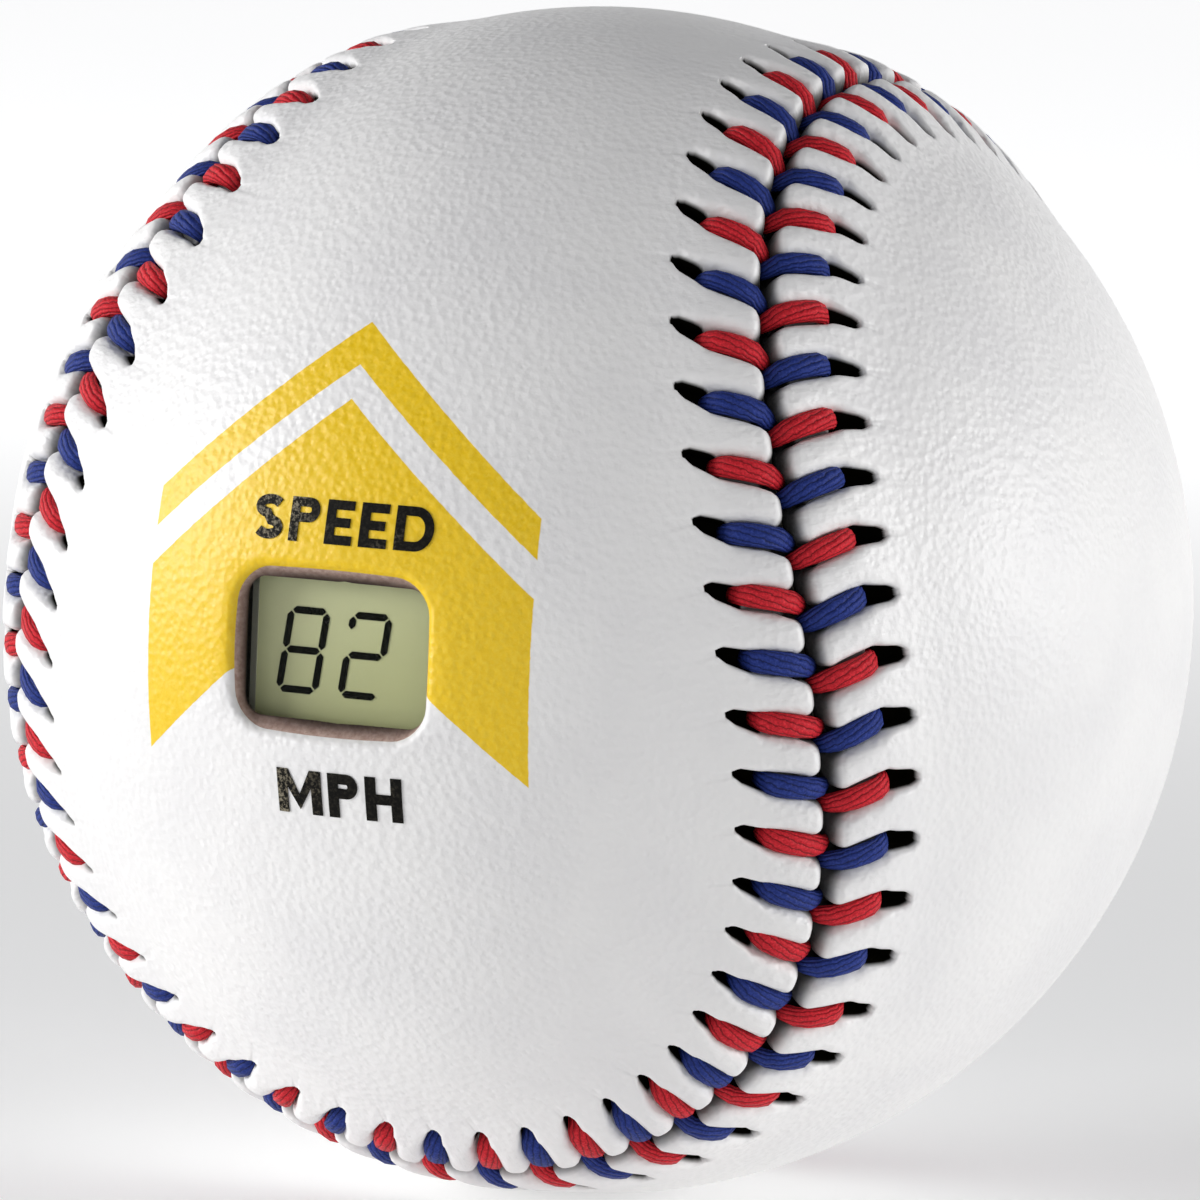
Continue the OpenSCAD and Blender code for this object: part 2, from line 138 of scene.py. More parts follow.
def size_of(name):
    """A size of the leather work, in millimetres."""
    return getattr(bpy.context.scene.ball_sizes, name) / MM


def colour_of(name):
    """A colour of the ball, as linear RGBA."""
    return tuple(getattr(bpy.context.scene.ball_colours, name))


# ---- Node helpers ----

# Settings of a Map Range node that eases from one end to the other
SOFT_STEP = {"interpolation_type": "SMOOTHSTEP"}
# A wave texture repeats this often in one unit of its own scale
WAVES_PER_UNIT = 20


def feed(tree, node, inputs):
    """Sets inputs of a node, listed in order or by name. Each is a value, a socket, or a node that stands for
    its first output in use."""
    for key, value in inputs.items() if isinstance(inputs, dict) else enumerate(inputs):
        if isinstance(value, bpy.types.Node):
            value = next(output for output in value.outputs if output.enabled)
        if isinstance(value, bpy.types.NodeSocket):
            tree.links.new(value, node.inputs[key])
        else:
            node.inputs[key].default_value = value


def add(tree, kind, inputs=(), **settings):
    """Adds a node with its properties and its inputs."""
    node = tree.nodes.new(kind)
    for key, value in settings.items():
        setattr(node, key, value)
    feed(tree, node, inputs)
    return node


def new_material(name):
    """An empty material and its tree, with an output and a Principled shader that are linked."""
    material = bpy.data.materials.new(name)
    material.use_nodes = True
    tree = material.node_tree
    tree.nodes.clear()
    shader = add(tree, "ShaderNodeBsdfPrincipled")
    add(tree, "ShaderNodeOutputMaterial", {"Surface": shader.outputs[0]})
    return material, tree, shader


def per_mm(size):
    """Texture scale at which one cell is size millimetres wide."""
    return 1 / (size * MM)


# ---- The seam on the ball ----

def unit(v):
    """Vectors scaled to length 1."""
    return v / np.linalg.norm(v, axis=-1, keepdims=True)


def seam_point(s):
    """Unit vector to the seam. s goes once round it, in radians."""
    return unit(np.stack([
        -(np.cos(s) - SEAM_SWING * np.cos(3 * s)),
        -(np.sin(s) + SEAM_SWING * np.sin(3 * s)),
        SEAM_CLIMB * np.cos(2 * s)], axis=-1))


SEAM_S = np.linspace(0, 2 * np.pi, 7201)
SEAM_ALONG = BALL_R * np.concatenate([
    [0.0], np.cumsum(np.linalg.norm(np.diff(seam_point(SEAM_S), axis=0), axis=1))])
SEAM_LENGTH = SEAM_ALONG[-1]
PITCH = SEAM_LENGTH / STITCHES


def seam_frame(along):
    """Unit vectors at a distance along the seam: along it, across it towards the display, and outwards."""
    s = np.interp(np.mod(along, SEAM_LENGTH), SEAM_ALONG, SEAM_S)
    out = seam_point(s)
    run = seam_point(s + 1e-4) - seam_point(s - 1e-4)
    run = unit(run - out * np.sum(run * out, axis=-1, keepdims=True))
    return run, np.cross(out, run), out


def on_ball(along, aside):
    """Unit vector to the point aside millimetres from the seam, towards the display where positive."""
    _, across, out = seam_frame(along)
    angle = (np.asarray(aside) / BALL_R)[..., None]
    return out * np.cos(angle) + across * np.sin(angle)


def smooth(x, low, high):
    """0 at low and 1 at high, eased at both ends."""
    t = np.clip((x - low) / (high - low), 0, 1)
    return t * t * (3 - 2 * t)


def leg_track(depth, side):
    """How far along the seam a stitch leg has gone at each distance from it."""
    track = [0.0, 1.0, 1.8] if side > 0 else [0.0, 0.75, 0.55]
    return np.interp(depth, [0.3, SLIT_START, SLIT_END[side]], track)


# ---- Meshes ----

def make_object(name, points, faces, material=None):
    """Object at the origin from points in millimetres."""
    mesh = bpy.data.meshes.new(name)
    mesh.from_pydata((np.asarray(points) * MM).tolist(), [], faces)
    obj = bpy.data.objects.new(name, mesh)
    bpy.context.scene.collection.objects.link(obj)
    if material:
        mesh.materials.append(material)
    return obj


def tube_faces(rings, sides):
    """Faces of a closed tube: bands between its rings of points, and a cap at each end."""
    faces = []
    for start in range(0, (rings - 1) * sides, sides):
        for i in range(sides):
            k = (i + 1) % sides
            faces.append((start + i, start + k, start + sides + k, start + sides + i))
    return faces + [tuple(range(sides)), tuple(range((rings - 1) * sides, rings * sides))]


def turn_faces_out(obj):
    """Turns the faces of a closed mesh outwards."""
    work = bmesh.new()
    work.from_mesh(obj.data)
    bmesh.ops.recalc_face_normals(work, faces=work.faces)
    if work.calc_volume(signed=True) < 0:
        bmesh.ops.reverse_faces(work, faces=work.faces)
    work.to_mesh(obj.data)
    work.free()


def shade_smooth(obj, angle=None):
    """Smooth shading, with edges sharper than angle degrees kept sharp."""
    obj.data.polygons.foreach_set("use_smooth", [True] * len(obj.data.polygons))
    if angle:
        obj.data.set_sharp_from_angle(angle=math.radians(angle))


def store(obj, name, values, kind="FLOAT"):
    """Stores one value for each point of the mesh."""
    layer = obj.data.attributes.new(name, kind, "POINT")
    layer.data.foreach_set("vector" if kind == "FLOAT_VECTOR" else "value",
                           np.asarray(values, np.float32).ravel())


def apply_boolean(obj, cutter):
    """Cuts one solid out of another and removes the cutter. The cut faces keep the cutter's materials."""
    modifier = obj.modifiers.new("cut", "BOOLEAN")
    modifier.operation = "DIFFERENCE"
    modifier.solver = "EXACT"
    modifier.material_mode = "TRANSFER"
    modifier.object = cutter
    freeze(obj)
    bpy.data.objects.remove(cutter)


def freeze(obj):
    """Turns the evaluated object into a plain mesh and removes its modifiers."""
    graph = bpy.context.evaluated_depsgraph_get()
    mesh = bpy.data.meshes.new_from_object(
        obj.evaluated_get(graph), preserve_all_data_layers=True, depsgraph=graph)
    obj.modifiers.clear()
    obj.data = mesh
    return obj


# ---- Leather covers ----

# Width of the worked band along the seam, and of the strip whose nearness to the seam is stored
BAND_DEPTH = 9.2
NEAR_SEAM = 7.6
# How deep the cut edges lie in the groove, and the distance over which they roll up to the ball's surface
GROOVE_DEPTH = 1.05
EDGE_ROLL = 0.85
# Steps across the smooth middle of a cover, outside and on its flesh side
SPAN_STEPS = 20
FLESH_STEPS = 4


def trench_half_width(depth, side):
    """Half the width of a stitch's bed, which narrows to the slit's tip. Past it the columns spread again."""
    end = SLIT_END[side]
    depths = [0.0, SLIT_START - 0.5, SLIT_START, 4.4, end - 0.45, end, end + 0.6, BAND_DEPTH]
    return float(np.interp(depth, depths, [0.72, 0.66, 0.58, 0.5, 0.4, 0.15, 0.25, 0.6]))


def column_offsets(half_width):
    """Places across one pitch, from the middle of one bed to just before the next: bed, wall and tab."""
    bed = [0.0, 0.5 * half_width, 0.9 * half_width]
    wall = [half_width + step for step in (0.03, 0.1, 0.24, 0.45)]
    room = PITCH / 2 - wall[-1]
    tab = [wall[-1] + room * f for f in (0.33, 0.66)]
    near = bed + wall + tab
    return np.array(near + [PITCH / 2] + [PITCH - v for v in reversed(near[1:])])


def leather_relief(depth, offsets, half_width, side):
    """Height over the ball, retreat of the cut edge and painted shade of the slit, at a distance from the
    seam.
    """
    end = SLIT_END[side]
    press = size_of("press_depth")
    off_leg = np.minimum(offsets, PITCH - offsets)
    across_tab = np.clip((PITCH / 2 - off_leg) / (PITCH / 2 - half_width), 0, 1)

    # The tab between two beds: a puffed cushion whose walls grow steeper towards the slit's tip
    steepness = np.interp(depth, [2.8, 3.5, 4.2, end - 0.3, end], [3.2, 4.6, 12.0, 18.0, 26.0])
    puff = np.sqrt(np.clip(1 - across_tab ** steepness, 0, 1))
    lift = size_of("tab_height") * (1 - smooth(depth, 1.4, BAND_DEPTH)) ** 1.35
    roll = math.sqrt(1 - (1 - min(depth / EDGE_ROLL, 1)) ** 2)
    top = -GROOVE_DEPTH + (GROOVE_DEPTH + lift * (0.82 + 0.18 * puff)) * roll

    # The bed that the thread presses, which drops into the slit past the thread's end
    under_leather = smooth(depth, SLIT_START - 0.5, SLIT_START)
    slit = under_leather * (1 - smooth(depth, end - 0.15, end + 0.05))
    floor = -press - (size_of("hole_depth") - press) * slit
    open_bed = 1 - smooth(depth, end - 0.12, end + 0.08)
    in_bed = np.where(off_leg <= half_width * 0.95, open_bed, (1 - puff) * open_bed)
    height = top + (np.minimum(floor, top) - top) * in_bed

    # The cut edge draws back at each thread, so the tabs end in rounded tongues
    retreat = 0.08 + 0.92 * (1 - np.clip(1 - across_tab ** 3.3, 0, 1) ** 0.5)
    retreat = retreat * math.exp(-(depth / 1.1) ** 2)

    # Painted shade: dark inside the slit, with a rounded tip, and half dark in the bed under the thread
    from_side = np.clip((half_width + 0.17 - off_leg) / 0.2, 0, 1)
    from_tip = np.clip((end + 0.1 - depth) / 0.2, 0, 1)
    inside = 1 - np.minimum(1, np.hypot(1 - from_side, 1 - from_tip))
    under_thread = 0.5 * (1 - under_leather) * (off_leg < half_width + 0.02)
    return height, retreat, np.maximum(inside * under_leather, under_thread)


def span_middle(points, faces, ring, steps, radius):
    """Spans the inside of a ring of points with strips of faces, from its first point to the one opposite."""
    previous = [ring[0]]
    for t in range(1, len(ring) // 2 + 1):
        left, right = ring[t], ring[-t]
        current = [left]
        if left != right:
            a, b = unit(np.array(points[left])), unit(np.array(points[right]))
            angle = math.acos(float(np.clip(a @ b, -1, 1)))
            for m in range(1, steps):
                f = m / steps
                point = (math.sin((1 - f) * angle) * a + math.sin(f * angle) * b) / math.sin(angle)
                current.append(len(points))
                points.append(point * radius)
            current.append(right)
        if len(previous) == 1:
            faces.extend((previous[0], current[m + 1], current[m]) for m in range(steps))
        elif len(current) == 1:
            faces.extend((previous[m], previous[m + 1], current[0]) for m in range(steps))
        else:
            faces.extend((previous[m], previous[m + 1], current[m + 1], current[m]) for m in range(steps))
        previous = current


def cover_mesh(name, side):
    """One leather cover as a closed shell: band at the seam, smooth middle, cut edge and flesh side."""
    start = STITCH_START - (STITCH_STAGGER if side < 0 else 0)
    depths = np.concatenate([[0.0, 0.04, 0.1, 0.19, 0.32, 0.48, 0.68, 0.9, 1.15], np.linspace(1.45, 3.45, 8),
                             np.linspace(3.65, 6.05, 13), [6.4, 6.9, 7.6, 8.4, BAND_DEPTH]])
    rows, slit_shades, places = [], [], []
    for depth in depths:
        half_width = trench_half_width(depth, side)
        offsets = column_offsets(half_width)
        relief = leather_relief(depth, offsets, half_width, side)
        height, retreat, hole = (np.tile(values, STITCHES) for values in relief)
        along = start + (np.arange(STITCHES)[:, None] * PITCH + offsets[None, :]).ravel()
        shifted = along + leg_track(depth, side)
        rows.append(on_ball(shifted, side * (depth + 0.1 + retreat)) * (BALL_R + height)[:, None])
        slit_shades.append(hole)
        places.append(np.stack([shifted, np.full(len(along), max(0.0, NEAR_SEAM - depth)), height], axis=-1))
    count = len(along)
    faces = []
    rings = len(depths)

    def ring_faces(a, b):
        for i in range(count):
            k = (i + 1) % count
            faces.append((a + i, a + k, b + k, b + i))

    for r in range(rings - 1):
        ring_faces(r * count, (r + 1) * count)
    points = list(np.concatenate(rows))
    slit_shade_values = list(np.concatenate(slit_shades))
    place_values = list(np.concatenate(places))
    tip = -SEAM_LENGTH / 4 if side > 0 else 0.0
    gap = np.abs((shifted - tip + SEAM_LENGTH / 2) % SEAM_LENGTH - SEAM_LENGTH / 2)
    first = int(np.argmin(gap))

    def span(ring_start, steps, radius):
        """Spans the middle inside a ring. The new points bear no marks of the seam."""
        ring = [ring_start + (first + i) % count for i in range(count)]
        span_middle(points, faces, ring, steps, radius)
        unmarked = len(points) - len(slit_shade_values)
        slit_shade_values.extend([0.0] * unmarked)
        place_values.extend([np.zeros(3)] * unmarked)

    span((rings - 1) * count, SPAN_STEPS, BALL_R)
    inner_start = len(points)
    for depth in (-0.08, 3.0):
        along_inside = start + leg_track(depth, side) + (np.arange(STITCHES)[:, None] * PITCH
                                                         + column_offsets(0.6)[None, :]).ravel()
        ring = on_ball(along_inside, np.full(count, side * (depth + 0.1))) * (BALL_R - LEATHER)
        points.extend(ring)
        slit_shade_values.extend([0.0] * count)
        place_values.extend([np.array([0.0, NEAR_SEAM, -LEATHER])] * count)
    ring_faces(inner_start, 0)
    ring_faces(inner_start + count, inner_start)
    span(inner_start + count, FLESH_STEPS, BALL_R - LEATHER)
    obj = make_object(name, points, faces)
    turn_faces_out(obj)
    store(obj, "hole", slit_shade_values)
    store(obj, "seam_place", np.array(place_values) * MM, "FLOAT_VECTOR")
    return obj


# Height of the window's middle over the ball's
WINDOW_DROP = -0.25


def rounded_outline(width, height, radius, bulge=0.0, steps=8):
    """Outline in X and Z with round corners. bulge bows each side outwards at its middle."""
    corners = []
    for c in range(4):
        sx, sz = ((1, 1), (-1, 1), (-1, -1), (1, -1))[c]
        for i in range(steps + 1):
            a = math.pi / 2 * (c + i / steps)
            corners.append((sx * (width / 2 - radius) + radius * math.cos(a),
                            sz * (height / 2 - radius) + radius * math.sin(a)))
    outline = []
    for i, (x, z) in enumerate(corners):
        nx, nz = corners[(i + 1) % len(corners)]
        outline.append((x, z))
        if math.hypot(nx - x, nz - z) > 2:
            for f in (0.2, 0.35, 0.5, 0.65, 0.8):
                outline.append((x + (nx - x) * f, z + (nz - z) * f))
    return [(x + bulge * math.copysign(1 - (2 * z / height) ** 2, x) * abs(2 * x / width) ** 3,
             z + bulge * math.copysign(1 - (2 * x / width) ** 2, z) * abs(2 * z / height) ** 3)
            for x, z in outline]


def loft(name, rings, materials=(), outer_bands=0):
    """Closed solid through rings of points. The first outer_bands bands take the first material."""
    count = len(rings[0])
    points = [p for ring in rings for p in ring]
    obj = make_object(name, points, tube_faces(len(rings), count))
    for material in materials:
        obj.data.materials.append(material)
    for face in range(outer_bands * count, len(obj.data.polygons) - 2):
        obj.data.polygons[face].material_index = len(materials) - 1
    turn_faces_out(obj)
    return obj


def ring_under_surface(outline, depth, x_middle):
    """Outline laid on the ball and sunk by depth."""
    points = [(x_middle + x, z + WINDOW_DROP) for x, z in outline]
    return [(x, depth - math.sqrt(BALL_R ** 2 - x ** 2 - z ** 2), z) for x, z in points]


def clear_seam_marks(cover, reach):
    """Takes the seam's marks off the points round the window, which the cut numbers anew."""
    mesh = cover.data
    places = np.empty(len(mesh.vertices) * 3, np.float32)
    mesh.vertices.foreach_get("co", places)
    places = places.reshape(-1, 3)
    here = (np.abs(places[:, 0]) < reach[0]) & (places[:, 1] < reach[1]) & (np.abs(places[:, 2]) < reach[2])
    for name, key, width in (("hole", "value", 1), ("seam_place", "vector", 3)):
        values = np.empty(len(places) * width, np.float32)
        mesh.attributes[name].data.foreach_get(key, values)
        values.reshape(-1, width)[here] = 0.0
        mesh.attributes[name].data.foreach_set(key, values)


# Rings of the window's rolled edge: depth under the ball's surface, width, height, corner radius and bulge
WINDOW_ROLL = ((-2.5, 13.9, 11.1, 2.7, 0.3), (-0.02, 13.25, 10.4, 2.45, 0.3), (0.07, 12.8, 9.95, 2.3, 0.28),
               (0.2, 12.45, 9.6, 2.15, 0.25), (0.42, 12.2, 9.3, 2.0, 0.22), (0.7, 12.05, 9.0, 1.8, 0.16))
# Rings of its sloping walls: distance behind the lens's front, width, height and corner radius
WINDOW_WALLS = ((-0.3, 11.85, 8.15, 1.2), (2.0, 11.7, 7.9, 1.1))
SKIVE_SIZE = (14.7, 12.3, 1.6)


def cut_window(cover):
    """Cuts the window, with a rolled edge and walls that slope in to the lens, and thins the flesh side."""
    low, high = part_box("lens_window")
    x = (low.x + high.x) / 2 / MM
    lens_front = low.y / MM
    suede = leather_flesh_side()
    rings = []
    for depth, width, height, radius, bulge in WINDOW_ROLL:
        rings.append(ring_under_surface(rounded_outline(width, height, radius, bulge), depth, x))
    for behind, width, height, radius in WINDOW_WALLS:
        outline = rounded_outline(width, height, radius, 0.04)
        rings.append([(x + px, lens_front + behind, WINDOW_DROP + pz) for px, pz in outline])
    window = loft("window_cutter", rings, (cover.data.materials[0], suede), 4)
    outline = rounded_outline(*SKIVE_SIZE)
    skive = loft("skive_cutter", [[(x + px, lens_front + behind, pz) for px, pz in outline]
                                  for behind in (-0.05, 3.0)], (suede,))
    apply_boolean(cover, window)
    apply_boolean(cover, skive)
    clear_seam_marks(cover, (9 * MM, -BALL_R * 0.8 * MM, 9 * MM))


# ---- Materials of the covers ----

def leather_flesh_side():
    """Flesh side of the hide: fibrous, matte and pink-brown where it is cut, with painted shade that darkens
    it deep in the window.
    """
    material, tree, shader = new_material("leather_flesh_side")
    point = add(tree, "ShaderNodeTexCoord").outputs["Object"]
    fibre = add(tree, "ShaderNodeTexNoise", {
        "Vector": point, "Scale": per_mm(0.35), "Detail": 4.0, "Roughness": 0.6})
    tufts = add(tree, "ShaderNodeMapRange", (fibre, 0.3, 0.7), **SOFT_STEP)
    tone = add(tree, "ShaderNodeMix", {
        0: tufts, 6: colour_of("suede"), 7: linear("CBB0A5")}, data_type="RGBA")
    # Painted shade: the cut edge grows dark brown the deeper it lies under the ball's surface
    radius = add(tree, "ShaderNodeVectorMath", (point,), operation="LENGTH").outputs["Value"]
    deep = add(tree, "ShaderNodeMapRange", (radius, (BALL_R - 0.35) * MM, (BALL_R - 1.35) * MM), **SOFT_STEP)
    tone = add(tree, "ShaderNodeMix", {0: deep, 6: tone, 7: linear("3A2922")}, data_type="RGBA")
    fuzz = add(tree, "ShaderNodeBump", {"Height": fibre, "Distance": 0.08 * MM, "Strength": 1.0})
    feed(tree, shader, {"Base Color": tone, "Roughness": 0.85, "Normal": fuzz})
    return material


def print_place(tree, point):
    """East and north of the display's middle, in millimetres measured over the curve of the ball."""
    x, y, z = add(tree, "ShaderNodeSeparateXYZ", (point,)).outputs
    radius = add(tree, "ShaderNodeVectorMath", (point,), operation="LENGTH").outputs["Value"]
    front = add(tree, "ShaderNodeMath", (y, -1.0), operation="MULTIPLY")
    cosine = add(tree, "ShaderNodeMath", (front, radius), operation="DIVIDE")
    angle = add(tree, "ShaderNodeMath", (cosine,), operation="ARCCOSINE")
    flat = add(tree, "ShaderNodeVectorMath", (point, (1.0, 0.0, 1.0)), operation="MULTIPLY")
    aside = add(tree, "ShaderNodeVectorMath", (flat,), operation="LENGTH").outputs["Value"]
    aside = add(tree, "ShaderNodeMath", (aside, 1e-6), operation="MAXIMUM")
    curved = add(tree, "ShaderNodeMath", (angle, BALL_R), operation="MULTIPLY")
    scale = add(tree, "ShaderNodeMath", (curved, aside), operation="DIVIDE")
    return [add(tree, "ShaderNodeMath", (part, scale), operation="MULTIPLY") for part in (x, z)]


BAND_MIDDLE = -0.5
BAND_HALF_WIDTH = 12.8
INK_EDGE = 0.04
# Each band is a chevron: height of its upper and lower edge on the middle line, and the slope of each
BANDS = ((19.7, 0.864, 16.95, 0.84), (14.8, 0.85, 3.45, 0.84))


def printed_bands(tree, point):
    """1 on the printed yellow bands. Edges waver by a few hundredths, as ink does on grained leather."""
    east, north = print_place(tree, point)
    uneven = add(tree, "ShaderNodeTexNoise", {
        "Vector": point, "Scale": per_mm(0.6), "Detail": 3.0, "Roughness": 0.5})
    waver = add(tree, "ShaderNodeMapRange", (uneven, 0.0, 1.0, -0.06, 0.06))
    aside = add(tree, "ShaderNodeMath", (east, BAND_MIDDLE), operation="SUBTRACT")
    aside = add(tree, "ShaderNodeMath", (aside,), operation="ABSOLUTE")
    north = add(tree, "ShaderNodeMath", (north, waver), operation="ADD")

    def over(value, limit):
        """1 where value is over limit, with a soft edge."""
        excess = add(tree, "ShaderNodeMath", (value, limit), operation="SUBTRACT")
        return add(tree, "ShaderNodeMapRange", (excess, -INK_EDGE, INK_EDGE), **SOFT_STEP)

    bands = 0.0
    for top, top_slope, under, under_slope in BANDS:
        upper = add(tree, "ShaderNodeMath", (aside, -top_slope, top), operation="MULTIPLY_ADD")
        lower = add(tree, "ShaderNodeMath", (aside, -under_slope, under), operation="MULTIPLY_ADD")
        band = add(tree, "ShaderNodeMath", (over(upper, north), over(north, lower)), operation="MULTIPLY")
        bands = add(tree, "ShaderNodeMath", (band, bands), operation="MAXIMUM")
    outward = add(tree, "ShaderNodeMath", (aside, waver), operation="ADD")
    bands = add(tree, "ShaderNodeMath", (bands, over(BAND_HALF_WIDTH, outward)), operation="MULTIPLY")
    y = add(tree, "ShaderNodeSeparateXYZ", (point,)).outputs[1]
    front = add(tree, "ShaderNodeMapRange", (y, 0.0, -1.0 * MM), **SOFT_STEP)
    return add(tree, "ShaderNodeMath", (bands, front), operation="MULTIPLY")


def leather_grain_side(name, printed):
    """Coated white cowhide: fine pebble grain under a soft, slightly glossy finish, creased at the seam."""
    material, tree, shader = new_material(name)
    point = add(tree, "ShaderNodeTexCoord").outputs["Object"]
    pebble = add(tree, "ShaderNodeTexVoronoi", {
        "Vector": point, "Scale": per_mm(size_of("grain")), "Smoothness": 0.6}, feature="SMOOTH_F1")
    fine = add(tree, "ShaderNodeTexNoise", {
        "Vector": point, "Scale": per_mm(0.25), "Detail": 4.0, "Roughness": 0.6})
    broad = add(tree, "ShaderNodeTexNoise", {
        "Vector": point, "Scale": per_mm(9.0), "Detail": 3.0, "Roughness": 0.5})
    hole = add(tree, "ShaderNodeAttribute", attribute_name="hole").outputs["Fac"]
    place = add(tree, "ShaderNodeAttribute", attribute_name="seam_place").outputs["Vector"]
    along, nearness, _ = add(tree, "ShaderNodeSeparateXYZ", (place,)).outputs
    worked = add(tree, "ShaderNodeMapRange", (nearness, 0.5 * MM, 6.6 * MM), **SOFT_STEP)
    # Wrinkles run across the seam, so their pattern is drawn out in that direction
    drawn_out = add(tree, "ShaderNodeMath", (nearness, 0.3), operation="MULTIPLY")
    wrinkle_place = add(tree, "ShaderNodeCombineXYZ", (along, drawn_out, 0.0))
    wrinkle = add(tree, "ShaderNodeTexNoise", {
        "Vector": wrinkle_place, "Scale": per_mm(0.55), "Detail": 3.0, "Roughness": 0.55})

    clouds = add(tree, "ShaderNodeMapRange", (broad, 0.3, 0.75), **SOFT_STEP)
    tone = add(tree, "ShaderNodeMix", {
        0: clouds, 6: colour_of("leather"), 7: linear("ECEBEB")}, data_type="RGBA")
    if printed:
        thin = add(tree, "ShaderNodeMapRange", (fine, 0.35, 0.75, 0.0, 0.35), **SOFT_STEP)
        ink = add(tree, "ShaderNodeMix", {
            0: thin, 6: colour_of("print_yellow"), 7: linear("F7DC4E")}, data_type="RGBA")
        tone = add(tree, "ShaderNodeMix", {0: printed_bands(tree, point), 6: tone, 7: ink}, data_type="RGBA")
    # Painted shade: the cut edge is nearly black down in the seam's groove, and the slits are dark inside
    edge = add(tree, "ShaderNodeMapRange", (nearness, 7.0 * MM, 7.55 * MM), **SOFT_STEP)
    groove_shade = add(tree, "ShaderNodeMath", (edge, 0.9), operation="MULTIPLY")
    tone = add(tree, "ShaderNodeMix", {0: groove_shade, 6: tone, 7: linear("120E0C")}, data_type="RGBA")
    shade = add(tree, "ShaderNodeMapRange", (hole, 0.25, 0.6), **SOFT_STEP)
    tone = add(tree, "ShaderNodeMix", {0: shade, 6: tone, 7: linear("0B0A05")}, data_type="RGBA")
    gloss = add(tree, "ShaderNodeMapRange", (fine, 0.2, 0.8, 0.3, 0.48), **SOFT_STEP)
    gloss = add(tree, "ShaderNodeMath", (gloss, shade), operation="MAXIMUM")
    shine = add(tree, "ShaderNodeMapRange", (hole, 0.25, 0.6, 0.45, 0.0), **SOFT_STEP)

    pebbled = add(tree, "ShaderNodeBump", {"Height": pebble, "Distance": 0.08 * MM, "Strength": 0.8})
    grained = add(tree, "ShaderNodeBump", {
        "Height": fine, "Distance": 0.035 * MM, "Strength": 0.7, "Normal": pebbled})
    creased = add(tree, "ShaderNodeMath", (wrinkle, worked), operation="MULTIPLY")
    wrinkled = add(tree, "ShaderNodeBump", {
        "Height": creased, "Distance": 0.16 * MM, "Strength": 0.8, "Normal": grained})
    # The specular level outside the slits, for where its link isn't carried along
    shader.inputs["Specular IOR Level"].default_value = 0.45
    feed(tree, shader, {"Base Color": tone, "Roughness": gloss, "IOR": 1.48, "Specular IOR Level": shine,
                        "Normal": wrinkled})
    return material


# ---- Stitches ----

def leg_mesh(name, side):
    """One leg of a stitch: a flattened thread that comes up out of the groove, lies in its bed between two
    tabs and dives into its slit. X runs along the seam, Y towards the display, Z outwards."""
    aside = np.array([-0.2, 0.25, 0.8, 1.6, 2.5, 3.1, 3.5, 3.72, SLIT_START])
    rise = np.array([-0.95, -0.42, 0.09, 0.31, 0.31, 0.21, -0.08, -0.57, -1.1])
    swell = np.array([0.7, 0.85, 0.97, 1.0, 1.0, 1.0, 0.93, 0.85, 0.8])
    along = leg_track(aside, side) - 0.2 * np.exp(-((aside + 0.3) / 0.7) ** 2)
    centre = np.stack([along, side * aside, rise], axis=-1)
    centre[:, 2] -= (centre[:, 0] ** 2 + centre[:, 1] ** 2) / (2 * BALL_R)
    half_width, half_height = size_of("thread_width") / 2, size_of("thread_height") / 2
    rings, sides, plies, twist = len(aside), 10, 11, 0.55
    run = unit(np.gradient(centre, axis=0))
    flat = unit(np.cross(run, np.array([0.0, 0.0, 1.0])))
    up = np.cross(flat, run)
    length = np.concatenate([[0.0], np.cumsum(np.linalg.norm(np.diff(centre, axis=0), axis=1))])
    points, turns = [], []
    for i in range(rings):
        for j in range(sides):
            a = 2 * math.pi * j / sides - math.pi / 2
            c, d = math.cos(a), math.sin(a)
            offset = (flat[i] * math.copysign(abs(c) ** 0.8, c) * half_width
                      + up[i] * math.copysign(abs(d) ** 0.9, d) * half_height) * swell[i]
            points.append(centre[i] + offset)
            turns.append(plies * j / sides + side * twist * length[i])
    obj = make_object(name, points, tube_faces(rings, sides))
    turn_faces_out(obj)
    store(obj, "ply", turns)
    shade_smooth(obj)
    return obj


